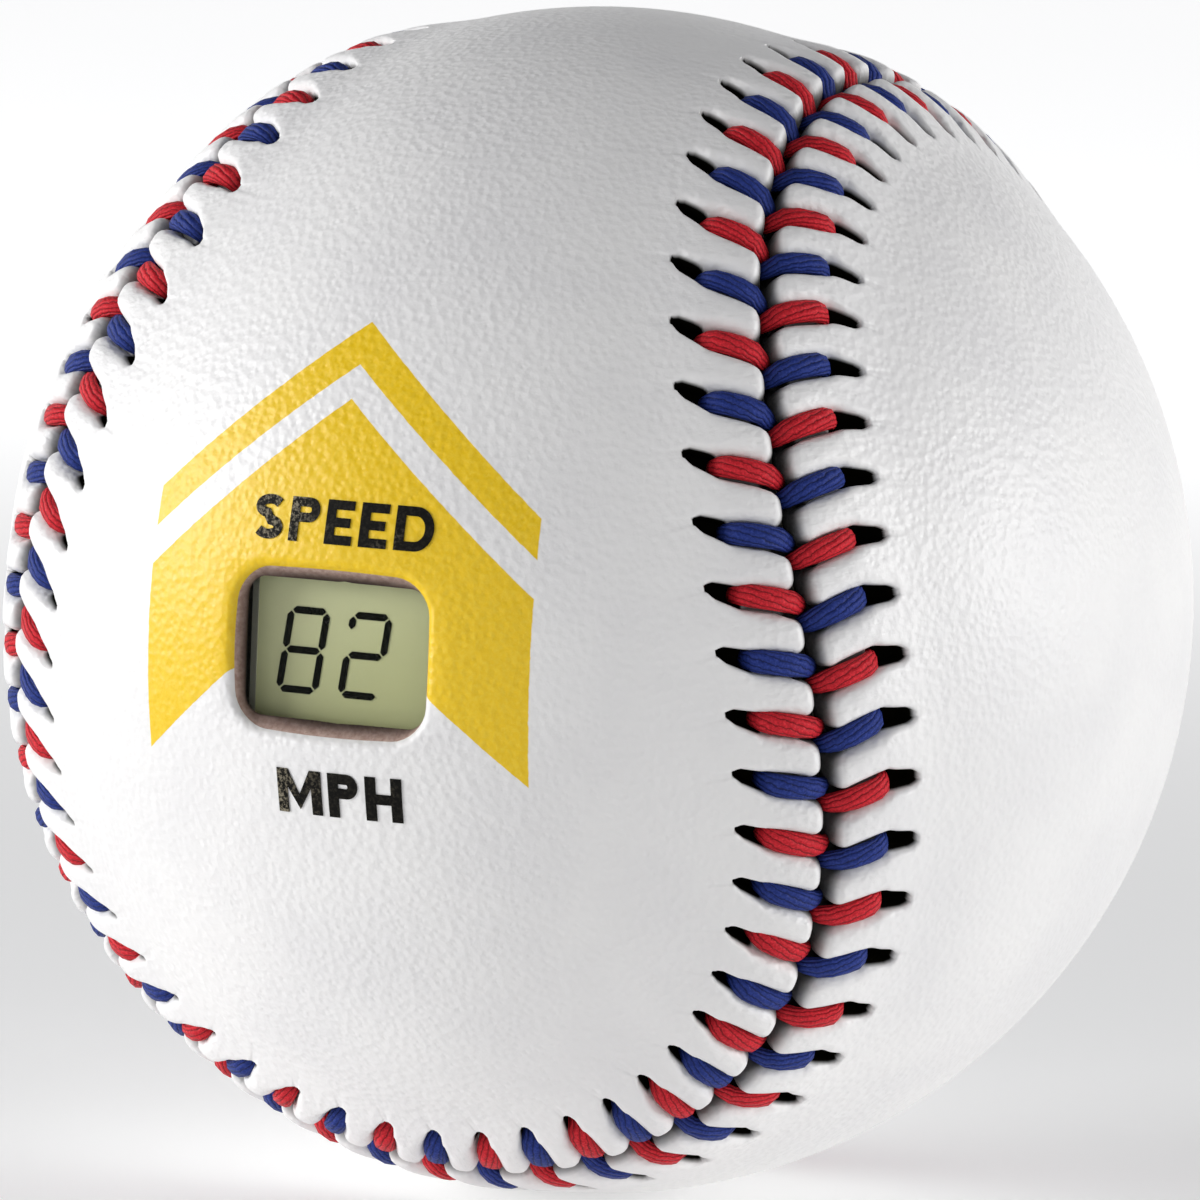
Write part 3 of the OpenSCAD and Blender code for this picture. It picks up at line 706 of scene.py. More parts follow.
def waxed_thread(name, base):
    """Waxed thread of many fine plies: dark lines of painted shade between them, broken fibres and a soft
    sheen.
    """
    material, tree, shader = new_material(name)
    point = add(tree, "ShaderNodeTexCoord").outputs["Object"]
    ply = add(tree, "ShaderNodeAttribute", attribute_name="ply").outputs["Fac"]
    fray = add(tree, "ShaderNodeTexNoise", {
        "Vector": point, "Scale": per_mm(0.5), "Detail": 3.0, "Roughness": 0.6})
    frayed = add(tree, "ShaderNodeMath", (fray, 0.9, ply), operation="MULTIPLY_ADD")
    angle = add(tree, "ShaderNodeMath", (frayed, math.pi), operation="MULTIPLY")
    wave = add(tree, "ShaderNodeMath", (angle,), operation="SINE")
    crest = add(tree, "ShaderNodeMath", (wave,), operation="ABSOLUTE")
    fibre = add(tree, "ShaderNodeTexNoise", {
        "Vector": point, "Scale": per_mm(0.14), "Detail": 3.0, "Roughness": 0.65})
    dark = tuple(c * 0.2 for c in base[:3]) + (1.0,)
    light = tuple(min(1.0, c * 1.6 + 0.01) for c in base[:3]) + (1.0,)
    raised = add(tree, "ShaderNodeMapRange", (fibre, 0.35, 0.75), **SOFT_STEP)
    tone = add(tree, "ShaderNodeMix", {0: raised, 6: base, 7: light}, data_type="RGBA")
    # Painted shade in the grooves between the plies
    between_plies = add(tree, "ShaderNodeMapRange", (crest, 0.45, 0.05, 0.0, 0.75), **SOFT_STEP)
    tone = add(tree, "ShaderNodeMix", {0: between_plies, 6: tone, 7: dark}, data_type="RGBA")
    rounded = add(tree, "ShaderNodeMath", (crest, 0.8), operation="MULTIPLY")
    height = add(tree, "ShaderNodeMath", (fibre, 0.35, rounded), operation="MULTIPLY_ADD")
    twisted = add(tree, "ShaderNodeBump", {"Height": height, "Distance": 0.12 * MM, "Strength": 0.9})
    feed(tree, shader, {"Base Color": tone, "Roughness": 0.55, "Specular IOR Level": 0.18, "Normal": twisted})
    return material


def stitch_tree():
    """Geometry nodes: a leg on every point, turned by the point's own rotation and varied a little."""
    tree = bpy.data.node_groups.new("stitch_legs", "GeometryNodeTree")
    face = tree.interface
    face.new_socket("Geometry", in_out="INPUT", socket_type="NodeSocketGeometry")
    face.new_socket("Leg", in_out="INPUT", socket_type="NodeSocketObject")
    face.new_socket("Thread", in_out="INPUT", socket_type="NodeSocketMaterial")
    face.new_socket("Sway", in_out="INPUT", socket_type="NodeSocketFloat").default_value = 0.06
    face.new_socket("Seed", in_out="INPUT", socket_type="NodeSocketInt").default_value = 11
    face.new_socket("Geometry", in_out="OUTPUT", socket_type="NodeSocketGeometry")
    given = add(tree, "NodeGroupInput")
    turn = add(tree, "GeometryNodeInputNamedAttribute", {"Name": "turn"}, data_type="QUATERNION")
    sway_low = add(tree, "ShaderNodeMath", {0: given.outputs["Sway"], 1: -1.0}, operation="MULTIPLY")
    sway = add(tree, "FunctionNodeRandomValue", {
        "Seed": given.outputs["Seed"], 2: sway_low.outputs[0], 3: given.outputs["Sway"]}, data_type="FLOAT")
    yaw = add(tree, "ShaderNodeCombineXYZ", {2: sway.outputs[1]})
    spun = add(tree, "FunctionNodeEulerToRotation", {0: yaw.outputs[0]})
    turned = add(tree, "FunctionNodeRotateRotation", {0: turn.outputs[0], 1: spun.outputs[0]},
                 rotation_space="LOCAL")
    size = add(tree, "FunctionNodeRandomValue", {
        "Seed": given.outputs["Seed"], 0: (0.96, 0.985, 0.94), 1: (1.05, 1.01, 1.05)},
        data_type="FLOAT_VECTOR")
    leg = add(tree, "GeometryNodeObjectInfo", {"Object": given.outputs["Leg"]}, transform_space="ORIGINAL")
    legs = add(tree, "GeometryNodeInstanceOnPoints", {
        "Points": given.outputs["Geometry"], "Instance": leg.outputs["Geometry"],
        "Rotation": turned.outputs[0], "Scale": size.outputs[0]})
    real = add(tree, "GeometryNodeRealizeInstances", {"Geometry": legs.outputs[0]})
    painted = add(tree, "GeometryNodeSetMaterial", {
        "Geometry": real.outputs[0], "Material": given.outputs["Thread"]})
    add(tree, "NodeGroupOutput", {0: painted.outputs[0]})
    return tree


def legs_on_side(name, tree, leg, side, parity, material):
    """The legs of one colour on one cover, as one plain mesh."""
    numbers = np.array([k for k in range(STITCHES) if (k % 2 == parity) == (side > 0)])
    along = STITCH_START + numbers * PITCH - (STITCH_STAGGER if side < 0 else 0)
    run, across, out = seam_frame(along)
    obj = make_object(name, out * BALL_R, [])
    turns = obj.data.attributes.new("turn", "QUATERNION", "POINT")
    for i in range(len(numbers)):
        matrix = Matrix((run[i], across[i], out[i])).transposed()
        turns.data[i].value = matrix.to_quaternion()
    modifier = obj.modifiers.new("legs", "NODES")
    modifier.node_group = tree
    sockets = {item.name: item.identifier for item in tree.interface.items_tree if item.in_out == "INPUT"}
    modifier[sockets["Leg"]] = leg
    modifier[sockets["Thread"]] = material
    modifier[sockets["Sway"]] = 0.06
    modifier[sockets["Seed"]] = 11 + parity
    bpy.context.view_layer.update()
    return freeze(obj)


def join(name, objects):
    """Joins meshes into the first of them."""
    with bpy.context.temp_override(active_object=objects[0], selected_editable_objects=objects,
                                   selected_objects=objects):
        bpy.ops.object.join()
    objects[0].name = name
    return objects[0]


# ---- Printed legends ----

def printed_ink():
    """Screen-printed black ink, worn through to grey specks where it sat on the high grain."""
    material, tree, shader = new_material("screen_ink_black")
    point = add(tree, "ShaderNodeTexCoord").outputs["Object"]
    speck = add(tree, "ShaderNodeTexNoise", {
        "Vector": point, "Scale": per_mm(0.22), "Detail": 4.0, "Roughness": 0.7})
    patch = add(tree, "ShaderNodeTexNoise", {
        "Vector": point, "Scale": per_mm(2.4), "Detail": 2.0, "Roughness": 0.5})
    x = add(tree, "ShaderNodeSeparateXYZ", (point,)).outputs[0]
    side = add(tree, "ShaderNodeMapRange", (x, 0.0, -4.5 * MM), **SOFT_STEP)
    side = add(tree, "ShaderNodeMath", (side, 0.35), operation="MULTIPLY")
    wear = add(tree, "ShaderNodeMath", (patch, 0.6, side), operation="MULTIPLY_ADD")
    specked = add(tree, "ShaderNodeMapRange", (speck, 0.46, 0.62), **SOFT_STEP)
    rubbed = add(tree, "ShaderNodeMapRange", (wear, 0.3, 0.6, 0.05, 0.9), **SOFT_STEP)
    worn = add(tree, "ShaderNodeMath", (specked, rubbed), operation="MULTIPLY")
    tone = add(tree, "ShaderNodeMix", {
        0: worn, 6: colour_of("print_black"), 7: linear("8F8774")}, data_type="RGBA")
    crazed = add(tree, "ShaderNodeBump", {"Height": speck, "Distance": 0.02 * MM, "Strength": 0.6})
    feed(tree, shader, {"Base Color": tone, "Roughness": 0.6, "Specular IOR Level": 0.1, "Normal": crazed})
    return material


def wrap_on_ball(obj, east, north, lift):
    """Bends a flat text mesh in X and Y, in millimetres, onto the front of the ball."""
    for vertex in obj.data.vertices:
        e, n, up = vertex.co.x + east, vertex.co.y + north, vertex.co.z
        far = math.hypot(e, n)
        angle = far / BALL_R
        k = math.sin(angle) / far if far else 0.0
        direction = Vector((e * k, -math.cos(angle), n * k))
        vertex.co = direction * (BALL_R + lift + up) * MM


def arc(x, y, rx, ry, start, end, steps=14):
    """Points on an ellipse's arc, from one angle to another in degrees."""
    angles = np.radians(np.linspace(start, end, steps))
    return [(x + rx * math.cos(a), y + ry * math.sin(a)) for a in angles]


def ribbon(line, width):
    """Flat ribbon with mitred joints along a line, as an outline."""
    line = np.array(line, float)
    run = unit(np.diff(line, axis=0))
    normals = np.stack([-run[:, 1], run[:, 0]], axis=-1)
    joints = np.vstack([normals[:1], (normals[:-1] + normals[1:]) / 2, normals[-1:]])
    joints /= np.sum(joints * joints, axis=1, keepdims=True) ** 0.5
    lengths = np.concatenate([[1.0], 1 / np.sum(joints[1:-1] * normals[:-1], axis=1), [1.0]])
    shift = joints * lengths[:, None] * width / 2
    return [tuple(p) for p in line + shift], [tuple(p) for p in line - shift]


def letter_parts(letter, w, h, t):
    """Block letter in a box w wide and h high with strokes t thick, as outlines and ribbons that meet."""
    stem = [(0, 0), (t, 0), (t, h), (0, h)]
    low = t * 0.92
    if letter == "S":
        line = (arc(w / 2, h * 0.735, w / 2 - t / 2, h * 0.265 - low / 2, 28, 270 - 12, 16)
                + arc(w / 2, h * 0.265, w / 2 - t / 2, h * 0.265 - low / 2, 90 - 12, -152, 16))
        return [], [ribbon(line, t * 0.96)]
    if letter == "P":
        bowl = ([(t, h - low / 2)]
                + arc(w - h * 0.28, h * 0.72, h * 0.28 - t / 2, h * 0.28 - low / 2, 90, -90)
                + [(t, h * 0.44 + low / 2)])
        return [stem], [ribbon(bowl, low)]
    if letter == "E":
        return [stem], [ribbon([(t, y), (end, y)], low) for y, end in
                        ((low / 2, w), (h / 2, w * 0.9), (h - low / 2, w))]
    if letter == "D":
        bowl = ([(t, h - low / 2)] + arc(w - h * 0.45, h / 2, h * 0.45 - t / 2, h / 2 - low / 2, 90, -90, 20)
                + [(t, low / 2)])
        return [stem], [ribbon(bowl, low)]
    if letter == "M":
        return [[(0, 0), (t, 0), (t, h * 0.6), (w / 2, h * 0.1), (w - t, h * 0.6), (w - t, 0), (w, 0), (w, h),
                 (w - t * 1.1, h), (w / 2, h * 0.44), (t * 1.1, h), (0, h)]], []
    bar = [(t, h / 2 - low / 2), (w - t, h / 2 - low / 2), (w - t, h / 2 + low / 2), (t, h / 2 + low / 2)]
    return [stem, bar, [(x + w - t, y) for x, y in stem]], []


def legend(text, middle, north, height, widths, gap, stroke):
    """A word in plain block letters, printed on the leather. widths has one width for each letter."""
    work = bmesh.new()
    x = middle - (sum(widths) + gap * (len(text) - 1)) / 2
    for letter, width in zip(text, widths):
        outlines, ribbons = letter_parts(letter, width, height, stroke)
        polygons = list(outlines)
        for left, right in ribbons:
            polygons += [(left[i], left[i + 1], right[i + 1], right[i]) for i in range(len(left) - 1)]
        for polygon in polygons:
            work.faces.new([work.verts.new((x + px, north - height / 2 + py, 0)) for px, py in polygon])
        x += width + gap
    bmesh.ops.remove_doubles(work, verts=work.verts, dist=1e-4)
    bmesh.ops.triangulate(work, faces=work.faces)
    for _ in range(3):
        long_edges = [e for e in work.edges if e.calc_length() > 0.7]
        bmesh.ops.subdivide_edges(work, edges=long_edges, cuts=1)
        bmesh.ops.triangulate(work, faces=work.faces)
    grown = bmesh.ops.extrude_face_region(work, geom=work.faces[:])
    for item in grown["geom"]:
        if isinstance(item, bmesh.types.BMVert):
            item.co.z = 0.03
    bmesh.ops.recalc_face_normals(work, faces=work.faces)
    mesh = bpy.data.meshes.new("legend_" + text.lower())
    work.to_mesh(mesh)
    work.free()
    word = bpy.data.objects.new(mesh.name, mesh)
    bpy.context.scene.collection.objects.link(word)
    wrap_on_ball(word, 0.0, 0.0, 0.03)
    mesh.materials.append(printed_ink())
    return word


# ---- Plain finishes for the carried-over parts ----

def finish_material(name, hex_value, roughness, metallic=0.0, grain=0.2, grain_depth=0.01, vary=0.12,
                    specular=0.5):
    """A finish with fine surface grain and a slight change of tone over the part."""
    material, tree, shader = new_material(name)
    point = add(tree, "ShaderNodeTexCoord").outputs["Object"]
    fine = add(tree, "ShaderNodeTexNoise", {
        "Vector": point, "Scale": per_mm(grain), "Detail": 3.0, "Roughness": 0.6})
    broad = add(tree, "ShaderNodeTexNoise", {
        "Vector": point, "Scale": per_mm(grain * 9), "Detail": 2.0, "Roughness": 0.5})
    base = linear(hex_value)
    partner = tuple(c * (1 - vary) for c in base[:3]) + (1.0,)
    clouds = add(tree, "ShaderNodeMapRange", (broad, 0.35, 0.65), **SOFT_STEP)
    tone = add(tree, "ShaderNodeMix", {0: clouds, 6: base, 7: partner}, data_type="RGBA")
    gloss = add(tree, "ShaderNodeMapRange", (
        fine, 0.25, 0.75, roughness * 0.85, min(1.0, roughness * 1.15)), **SOFT_STEP)
    grained = add(tree, "ShaderNodeBump", {"Height": fine, "Distance": grain_depth * MM, "Strength": 0.5})
    feed(tree, shader, {"Base Color": tone, "Roughness": gloss, "Metallic": metallic,
                        "Specular IOR Level": specular, "Normal": grained})
    return material


def repaint(node, material):
    """Gives a carried-over part one material all over."""
    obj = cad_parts[node]
    obj.data.materials.clear()
    obj.data.materials.append(material)
    obj.data.polygons.foreach_set("material_index", [0] * len(obj.data.polygons))


# Finishes of the carried-over parts: nodes, material, colour, roughness, and what else its finish needs
DISPLAY_FINISHES = (
    # Dark state of the liquid crystal: flat black without gloss
    (("lcd_segments",), "lit_segments", "020202", 0.8, {"grain": 0.1, "grain_depth": 0.002, "specular": 0.0}),
    # Cured epoxy: grey-white and slightly glossy
    (("lcd_seal",), "cured_epoxy", "C6C6B4", 0.4, {}),
    # Moulded rubber: black and dull
    (("lens_gasket",), "gasket_rubber", "0C0C0C", 0.8, {}),
)
MODULE_FINISHES = (
    # Moulded sponge rubber: red-brown and dull, with a coarse skin
    (("core_front", "core_rear"), "cushion_rubber", "7A2E1E", 0.85, {"grain": 0.8, "grain_depth": 0.05}),
    # Foam cut from sheet: quite matt and pitted by its cells
    (("shock_pad_rear", "shock_pad_sides"), "closed_cell_foam", "2E3133", 0.95,
     {"grain": 0.4, "grain_depth": 0.12}),
    # Moulded plastic: near black, with the satin of a fine mould texture
    (("case_front", "case_rear"), "moulded_abs", "202124", 0.45, {"grain": 0.15}),
    # Zinc plate on steel: pale and bright
    (("case_screws",), "zinc_plated_steel", "C3C5C8", 0.3, {"metallic": 1.0, "grain": 0.3}),
    # Glass laminate under solder mask: glossy dark green, patchy where copper lies under it
    (("circuit_board", "sensor_board"), "solder_masked_laminate", "0E4A28", 0.35,
     {"grain": 0.4, "vary": 0.35}),
    # Moulded epoxy body: black and slightly sandy
    (("controller_chip",), "moulded_epoxy", "141414", 0.6, {"grain": 0.1}),
    # Drawn nickel silver can: pale and bright
    (("timing_crystal",), "drawn_nickel_silver", "D0D2D4", 0.25, {"metallic": 1.0, "grain": 0.3}),
    # Nickel plate on a pressed steel can: pale, bright and smooth
    (("coin_cell",), "nickel_plated_can", "CFD1D3", 0.22, {"metallic": 1.0, "grain": 0.5}),
    # Fired ceramic: tan and half matt
    (("chip_capacitors",), "fired_ceramic", "9C8158", 0.55, {"grain": 0.1}),
    # Glazed ceramic: black and glossy
    (("chip_resistors",), "glazed_ceramic", "131417", 0.3, {"grain": 0.1}),
    # Gold flash on stamped bronze: warm and bright
    (("battery_clip", "battery_contact", "board_link_pins", "switch_x_contacts", "switch_y_contacts",
      "switch_z_contacts"), "gold_flashed_bronze", "D9B45E", 0.25, {"metallic": 1.0, "grain": 0.3}),
    # Drawn brass tube: yellow, with a soft gloss
    (("switch_x_tube", "switch_y_tube", "switch_z_tube"), "drawn_brass", "B98E43", 0.3,
     {"metallic": 1.0, "grain": 0.4}),
    # Turned steel: grey, with a bright fine finish
    (("switch_x_weight", "switch_y_weight", "switch_z_weight"), "turned_steel", "A7AAB0", 0.2,
     {"metallic": 1.0}),
)


def paint_finishes(finishes):
    """Gives each group of parts its finish."""
    for nodes, name, colour, roughness, details in finishes:
        material = finish_material(name, colour, roughness, **details)
        for node in nodes:
            repaint(node, material)


def striped_rubber():
    """Conductive elastomer strip: thin carbon layers between insulating ones, across its length."""
    material, tree, shader = new_material("striped_elastomer")
    point = add(tree, "ShaderNodeTexCoord").outputs["Object"]
    stripes = add(tree, "ShaderNodeTexWave", {
        "Vector": point, "Scale": per_mm(0.5) / WAVES_PER_UNIT, "Distortion": 0.0},
        wave_type="BANDS", bands_direction="X").outputs["Fac"]
    layers = add(tree, "ShaderNodeMapRange", (stripes, 0.4, 0.6), **SOFT_STEP)
    tone = add(tree, "ShaderNodeMix", {0: layers, 6: linear("1A1A1C"), 7: linear("8E8E92")}, data_type="RGBA")
    feed(tree, shader, {"Base Color": tone, "Roughness": 0.7})
    return material


def wound_yarn():
    """Wool and cotton yarn wound over and over itself in great circles: matt, ridged and grey-cream, the grey
    being painted shade in the hollows between the strands.
    """
    material, tree, shader = new_material("wound_yarn")
    point = add(tree, "ShaderNodeTexCoord").outputs["Object"]
    heights = 0.0
    for turn in ((0.3, 0.2, 0.0), (1.4, 0.5, 0.9), (2.4, 1.1, 1.9)):
        turned = add(tree, "ShaderNodeMapping", {"Vector": point, "Rotation": turn})
        strands = add(tree, "ShaderNodeTexWave", {
            "Vector": turned, "Scale": per_mm(0.9) / WAVES_PER_UNIT, "Distortion": 1.2, "Detail": 1.0,
            "Detail Scale": 0.5}, wave_type="BANDS").outputs["Fac"]
        heights = add(tree, "ShaderNodeMath", (strands, heights), operation="MAXIMUM")
    # Painted shade: grey in the hollows between the strands, cream on their crowns
    tone = add(tree, "ShaderNodeMix", {
        0: heights, 6: linear("7D7568"), 7: linear("D8D0BF")}, data_type="RGBA")
    ridged = add(tree, "ShaderNodeBump", {"Height": heights, "Distance": 0.4 * MM, "Strength": 0.8})
    feed(tree, shader, {"Base Color": tone, "Roughness": 0.95, "Normal": ridged})
    return material


def display_reflector():
    """Reflective film behind the glass: matte grey-green, with a faint painted sheen that is lighter at the
    top left and fades to the bottom right.
    """
    material, tree, shader = new_material("reflector_film")
    point = add(tree, "ShaderNodeTexCoord").outputs["Object"]
    x, _, z = add(tree, "ShaderNodeSeparateXYZ", (point,)).outputs
    # Painted sheen: the film is lighter towards the top left
    slope = add(tree, "ShaderNodeMath", (x, -0.6, z), operation="MULTIPLY_ADD")
    sheen = add(tree, "ShaderNodeMapRange", (slope, -6.0 * MM, 6.0 * MM), **SOFT_STEP)
    tone = add(tree, "ShaderNodeMix", {
        0: sheen, 6: colour_of("display"), 7: linear("E8ECB6")}, data_type="RGBA")
    speck = add(tree, "ShaderNodeTexNoise", {
        "Vector": point, "Scale": per_mm(0.1), "Detail": 2.0, "Roughness": 0.5})
    satin = add(tree, "ShaderNodeBump", {"Height": speck, "Distance": 0.004 * MM, "Strength": 0.4})
    feed(tree, shader, {"Base Color": tone, "Roughness": 0.45, "Normal": satin})
    return material


def clear_sheet(name, hex_value, alpha, roughness=0.06):
    """Clear sheet, shown by its faint tint and its gloss."""
    material, tree, shader = new_material(name)
    point = add(tree, "ShaderNodeTexCoord").outputs["Object"]
    tint = linear(hex_value)
    paler = tuple(min(1.0, c * 1.3) for c in tint[:3]) + (1.0,)
    clouds = add(tree, "ShaderNodeTexNoise", {
        "Vector": point, "Scale": per_mm(3.0), "Detail": 2.0, "Roughness": 0.5})
    tone = add(tree, "ShaderNodeMix", {0: clouds, 6: tint, 7: paler}, data_type="RGBA")
    feed(tree, shader, {"Base Color": tone, "Roughness": roughness, "IOR": 1.49, "Alpha": alpha})
    return material


# ---- Operators ----

class BALL_OT_display_cover(bpy.types.Operator):
    """Leather cover with the display window, the printed bands and the cut edge"""
    bl_idname = "ball.display_cover"
    bl_label = "Display cover"

    def execute(self, context):
        cover = cover_mesh("cover_leather_display", 1)
        cover.data.materials.append(leather_grain_side("leather_printed", True))
        cut_window(cover)
        shade_smooth(cover, 55)
        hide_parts("cover_panel_display")
        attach(cover, "ball")
        return {"FINISHED"}


class BALL_OT_plain_cover(bpy.types.Operator):
    """Plain leather cover"""
    bl_idname = "ball.plain_cover"
    bl_label = "Plain cover"

    def execute(self, context):
        cover = cover_mesh("cover_leather_plain", -1)
        cover.data.materials.append(leather_grain_side("leather_white", False))
        shade_smooth(cover)
        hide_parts("cover_panel_plain")
        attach(cover, "ball")
        return {"FINISHED"}


class BALL_OT_stitches(bpy.types.Operator):
    """Red and blue stitches along the whole seam"""
    bl_idname = "ball.stitches"
    bl_label = "Stitches"

    def execute(self, context):
        tree = stitch_tree()
        legs = {side: leg_mesh("stitch_leg", side) for side in (1, -1)}
        for colour, parity in (("red", 1), ("blue", 0)):
            material = waxed_thread("waxed_thread_" + colour, colour_of(colour + "_thread"))
            halves = [legs_on_side("legs", tree, legs[side], side, parity, material) for side in (1, -1)]
            stitches = join("stitches_sewn_" + colour, halves)
            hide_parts("stitches_" + colour)
            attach(stitches, "ball")
        for leg in legs.values():
            bpy.data.objects.remove(leg)
        bpy.data.node_groups.remove(tree)
        return {"FINISHED"}


class BALL_OT_legends(bpy.types.Operator):
    """The two printed words, over and under the window"""
    bl_idname = "ball.legends"
    bl_label = "Printed legends"

    def execute(self, context):
        words = (legend("SPEED", 0.25, 7.45, 2.6, (2.05, 1.95, 1.75, 1.75, 2.4), 0.46, 0.6),
                 legend("MPH", 0.65, -8.55, 2.7, (2.95, 1.95, 2.3), 0.45, 0.68))
        for word in words:
            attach(word, "ball")
        return {"FINISHED"}


def front_pane():
    """The polarising film and the front glass in one solid, which steps out from the film to the glass."""
    film_low, film_high = (np.array(c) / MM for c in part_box("lcd_polariser"))
    glass_low, glass_high = (np.array(c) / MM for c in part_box("lcd_front_glass"))
    rings = []
    for low, high, y in ((film_low, film_high, film_low[1]), (film_low, film_high, glass_low[1]),
                         (glass_low, glass_high, glass_low[1]), (glass_low, glass_high, glass_high[1])):
        outline = rounded_outline(high[0] - low[0], high[2] - low[2], 0.25, steps=4)
        rings.append([(x + (low[0] + high[0]) / 2, y, z + (low[2] + high[2]) / 2) for x, z in outline])
    # Thin soda-lime glass under a satin film: all but clear, with a blurred gloss
    return loft("display_front_pane", rings, (clear_sheet("glass_under_film", "34382A", 0.06, 0.3),))


class BALL_OT_display(bpy.types.Operator):
    """Lens, glass, digits and the films of the display"""
    bl_idname = "ball.display"
    bl_label = "Display"

    def execute(self, context):
        # Cast acrylic: clear and glossy
        repaint("lens_window", clear_sheet("acrylic_lens", "3C3F3A", 0.03))
        pane = front_pane()
        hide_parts("lcd_polariser", "lcd_front_glass")
        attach(pane, "ball")
        for node in ("lcd_rear_glass", "lcd_reflector"):
            repaint(node, display_reflector())
        for strip in ("zebra_strip_upper", "zebra_strip_lower"):
            repaint(strip, striped_rubber())
        paint_finishes(DISPLAY_FINISHES)
        return {"FINISHED"}


class BALL_OT_module(bpy.types.Operator):
    """Case, boards, cell and switches of the sensor module, and the winding and core round it"""
    bl_idname = "ball.module"
    bl_label = "Sensor module"

    def execute(self, context):
        repaint("winding_layer", wound_yarn())
        paint_finishes(MODULE_FINISHES)
        return {"FINISHED"}


# Springs of the switches: coil, wire, turns, and how far they stay from the tube's ends and from their seats
COIL_RADIUS = 1.15
WIRE_RADIUS = 0.095
WIRE_SIDES = 8
OPEN_TURNS = 3
CLOSED_TURNS = 1
CLOSED_PITCH = 0.16
TUBE_END = 0.8
SPRING_PLAY = 0.1


def spring_points(start, end):
    """Centre line of a coil spring along Z, with turns that lie close at both ends."""
    total = OPEN_TURNS + 2 * CLOSED_TURNS
    turn = np.linspace(0, 1, 20 * total + 1) * total
    share = np.clip((turn - CLOSED_TURNS) / OPEN_TURNS, 0, 1)
    settle = CLOSED_PITCH * np.clip(turn, 0, CLOSED_TURNS) / CLOSED_TURNS
    settle_end = CLOSED_PITCH * np.clip(total - turn, 0, CLOSED_TURNS) / CLOSED_TURNS
    z = start + settle + (end - start - 2 * CLOSED_PITCH) * share + (CLOSED_PITCH - settle_end)
    angle = 2 * math.pi * turn
    return np.stack([COIL_RADIUS * np.cos(angle), COIL_RADIUS * np.sin(angle), z], axis=-1)


def wire_mesh(name, centre, material):
    """Round wire swept along a centre line whose axis is Z."""
    run = unit(np.gradient(centre, axis=0))
    out = unit(centre * np.array([1.0, 1.0, 0.0]))
    up = unit(np.cross(run, out))
    out = np.cross(up, run)
    a = np.linspace(0, 2 * math.pi, WIRE_SIDES, endpoint=False)
    rings = centre[:, None, :] + WIRE_RADIUS * (np.cos(a)[None, :, None] * out[:, None, :]
                                                + np.sin(a)[None, :, None] * up[:, None, :])
    obj = make_object(name, rings.reshape(-1, 3), tube_faces(len(centre), WIRE_SIDES), material)
    turn_faces_out(obj)
    shade_smooth(obj)
    return obj


def switch_spring(axis, letter, sign, material):
    """One spring of a switch, between its weight and the end of its tube on the side that sign gives."""
    index = "xyz".index(axis)
    low, high = (np.array(corner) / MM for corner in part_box(f"switch_{axis}_weight"))
    tube_low, tube_high = (np.array(corner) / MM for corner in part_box(f"switch_{axis}_tube"))
    middle, half = (low + high) / 2, (high - low)[index] / 2
    room_end = (tube_high - tube_low)[index] / 2 - TUBE_END
    spring = wire_mesh(f"spring_{axis}_{letter}", spring_points(half + SPRING_PLAY, room_end - SPRING_PLAY),
                       material)
    points = np.array([v.co for v in spring.data.vertices])
    points = np.roll(points, index + 1, axis=1) * sign + middle * MM
    spring.data.vertices.foreach_set("co", points.astype(np.float32).ravel())
    if sign < 0:
        spring.data.flip_normals()
    spring.data.update()
    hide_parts(f"switch_{axis}_spring_{letter}")
    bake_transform(spring)


class BALL_OT_springs(bpy.types.Operator):
    """The six springs of the inertia switches, which stretch and shorten with their weights"""
    bl_idname = "ball.springs"
    bl_label = "Switch springs"

    def execute(self, context):
        # Hard-drawn steel wire: bright grey with a fine drawn finish
        steel = finish_material("music_wire", "B9BCC0", 0.28, 1.0, grain_depth=0.004)
        for axis in "xyz":
            for letter, sign in (("a", 1), ("b", -1)):
                switch_spring(axis, letter, sign, steel)
        return {"FINISHED"}


# ---- Stage ----

FLOOR_REACH = 20000
CAMERA_AZIMUTH = 25.1
CAMERA_ELEVATION = 6.2
CAMERA_ROLL = 2.44
CAMERA_DISTANCE = 12 * BALL_R
CAMERA_LENS = 213.0


def towards(azimuth, elevation):
    """Unit vector from the ball to a place at an azimuth from the front and an elevation, both in degrees."""
    a, e = math.radians(azimuth), math.radians(elevation)
    return Vector((math.sin(a) * math.cos(e), -math.cos(a) * math.cos(e), math.sin(e)))


def soft_light(name, azimuth, elevation, distance, size, power):
    """Square soft light, aimed at the ball. Its distance and size are in metres, its power in watts."""
    light = bpy.data.lights.new(name, "AREA")
    light.size = size
    light.energy = power
    obj = bpy.data.objects.new(name, light)
    bpy.context.scene.collection.objects.link(obj)
    obj.location = distance * towards(azimuth, elevation)
    obj.rotation_euler = obj.location.to_track_quat("Z", "Y").to_euler()


def studio_world():
    """White room, a little darker on the camera's side and grey overhead."""
    world = bpy.data.worlds.new("studio")
    world.use_nodes = True
    tree = world.node_tree
    place = add(tree, "ShaderNodeTexCoord").outputs["Generated"]
    front = add(tree, "ShaderNodeVectorMath", (place, towards(CAMERA_AZIMUTH, 0)),
                operation="DOT_PRODUCT").outputs["Value"]
    height = add(tree, "ShaderNodeSeparateXYZ", (place,)).outputs[2]
    shaded = add(tree, "ShaderNodeMapRange", (front, 0.15, 0.9), **SOFT_STEP)
    walls = add(tree, "ShaderNodeMix", {
        0: shaded, 6: linear("FFFFFF"), 7: linear("CFCFD1")}, data_type="RGBA")
    overhead = add(tree, "ShaderNodeMapRange", (height, 0.15, 0.6), **SOFT_STEP)
    sky = add(tree, "ShaderNodeMix", {0: overhead, 6: walls, 7: linear("6A6B6E")}, data_type="RGBA")
    feed(tree, tree.nodes["Background"], {"Color": sky, "Strength": 1.0})
    return world


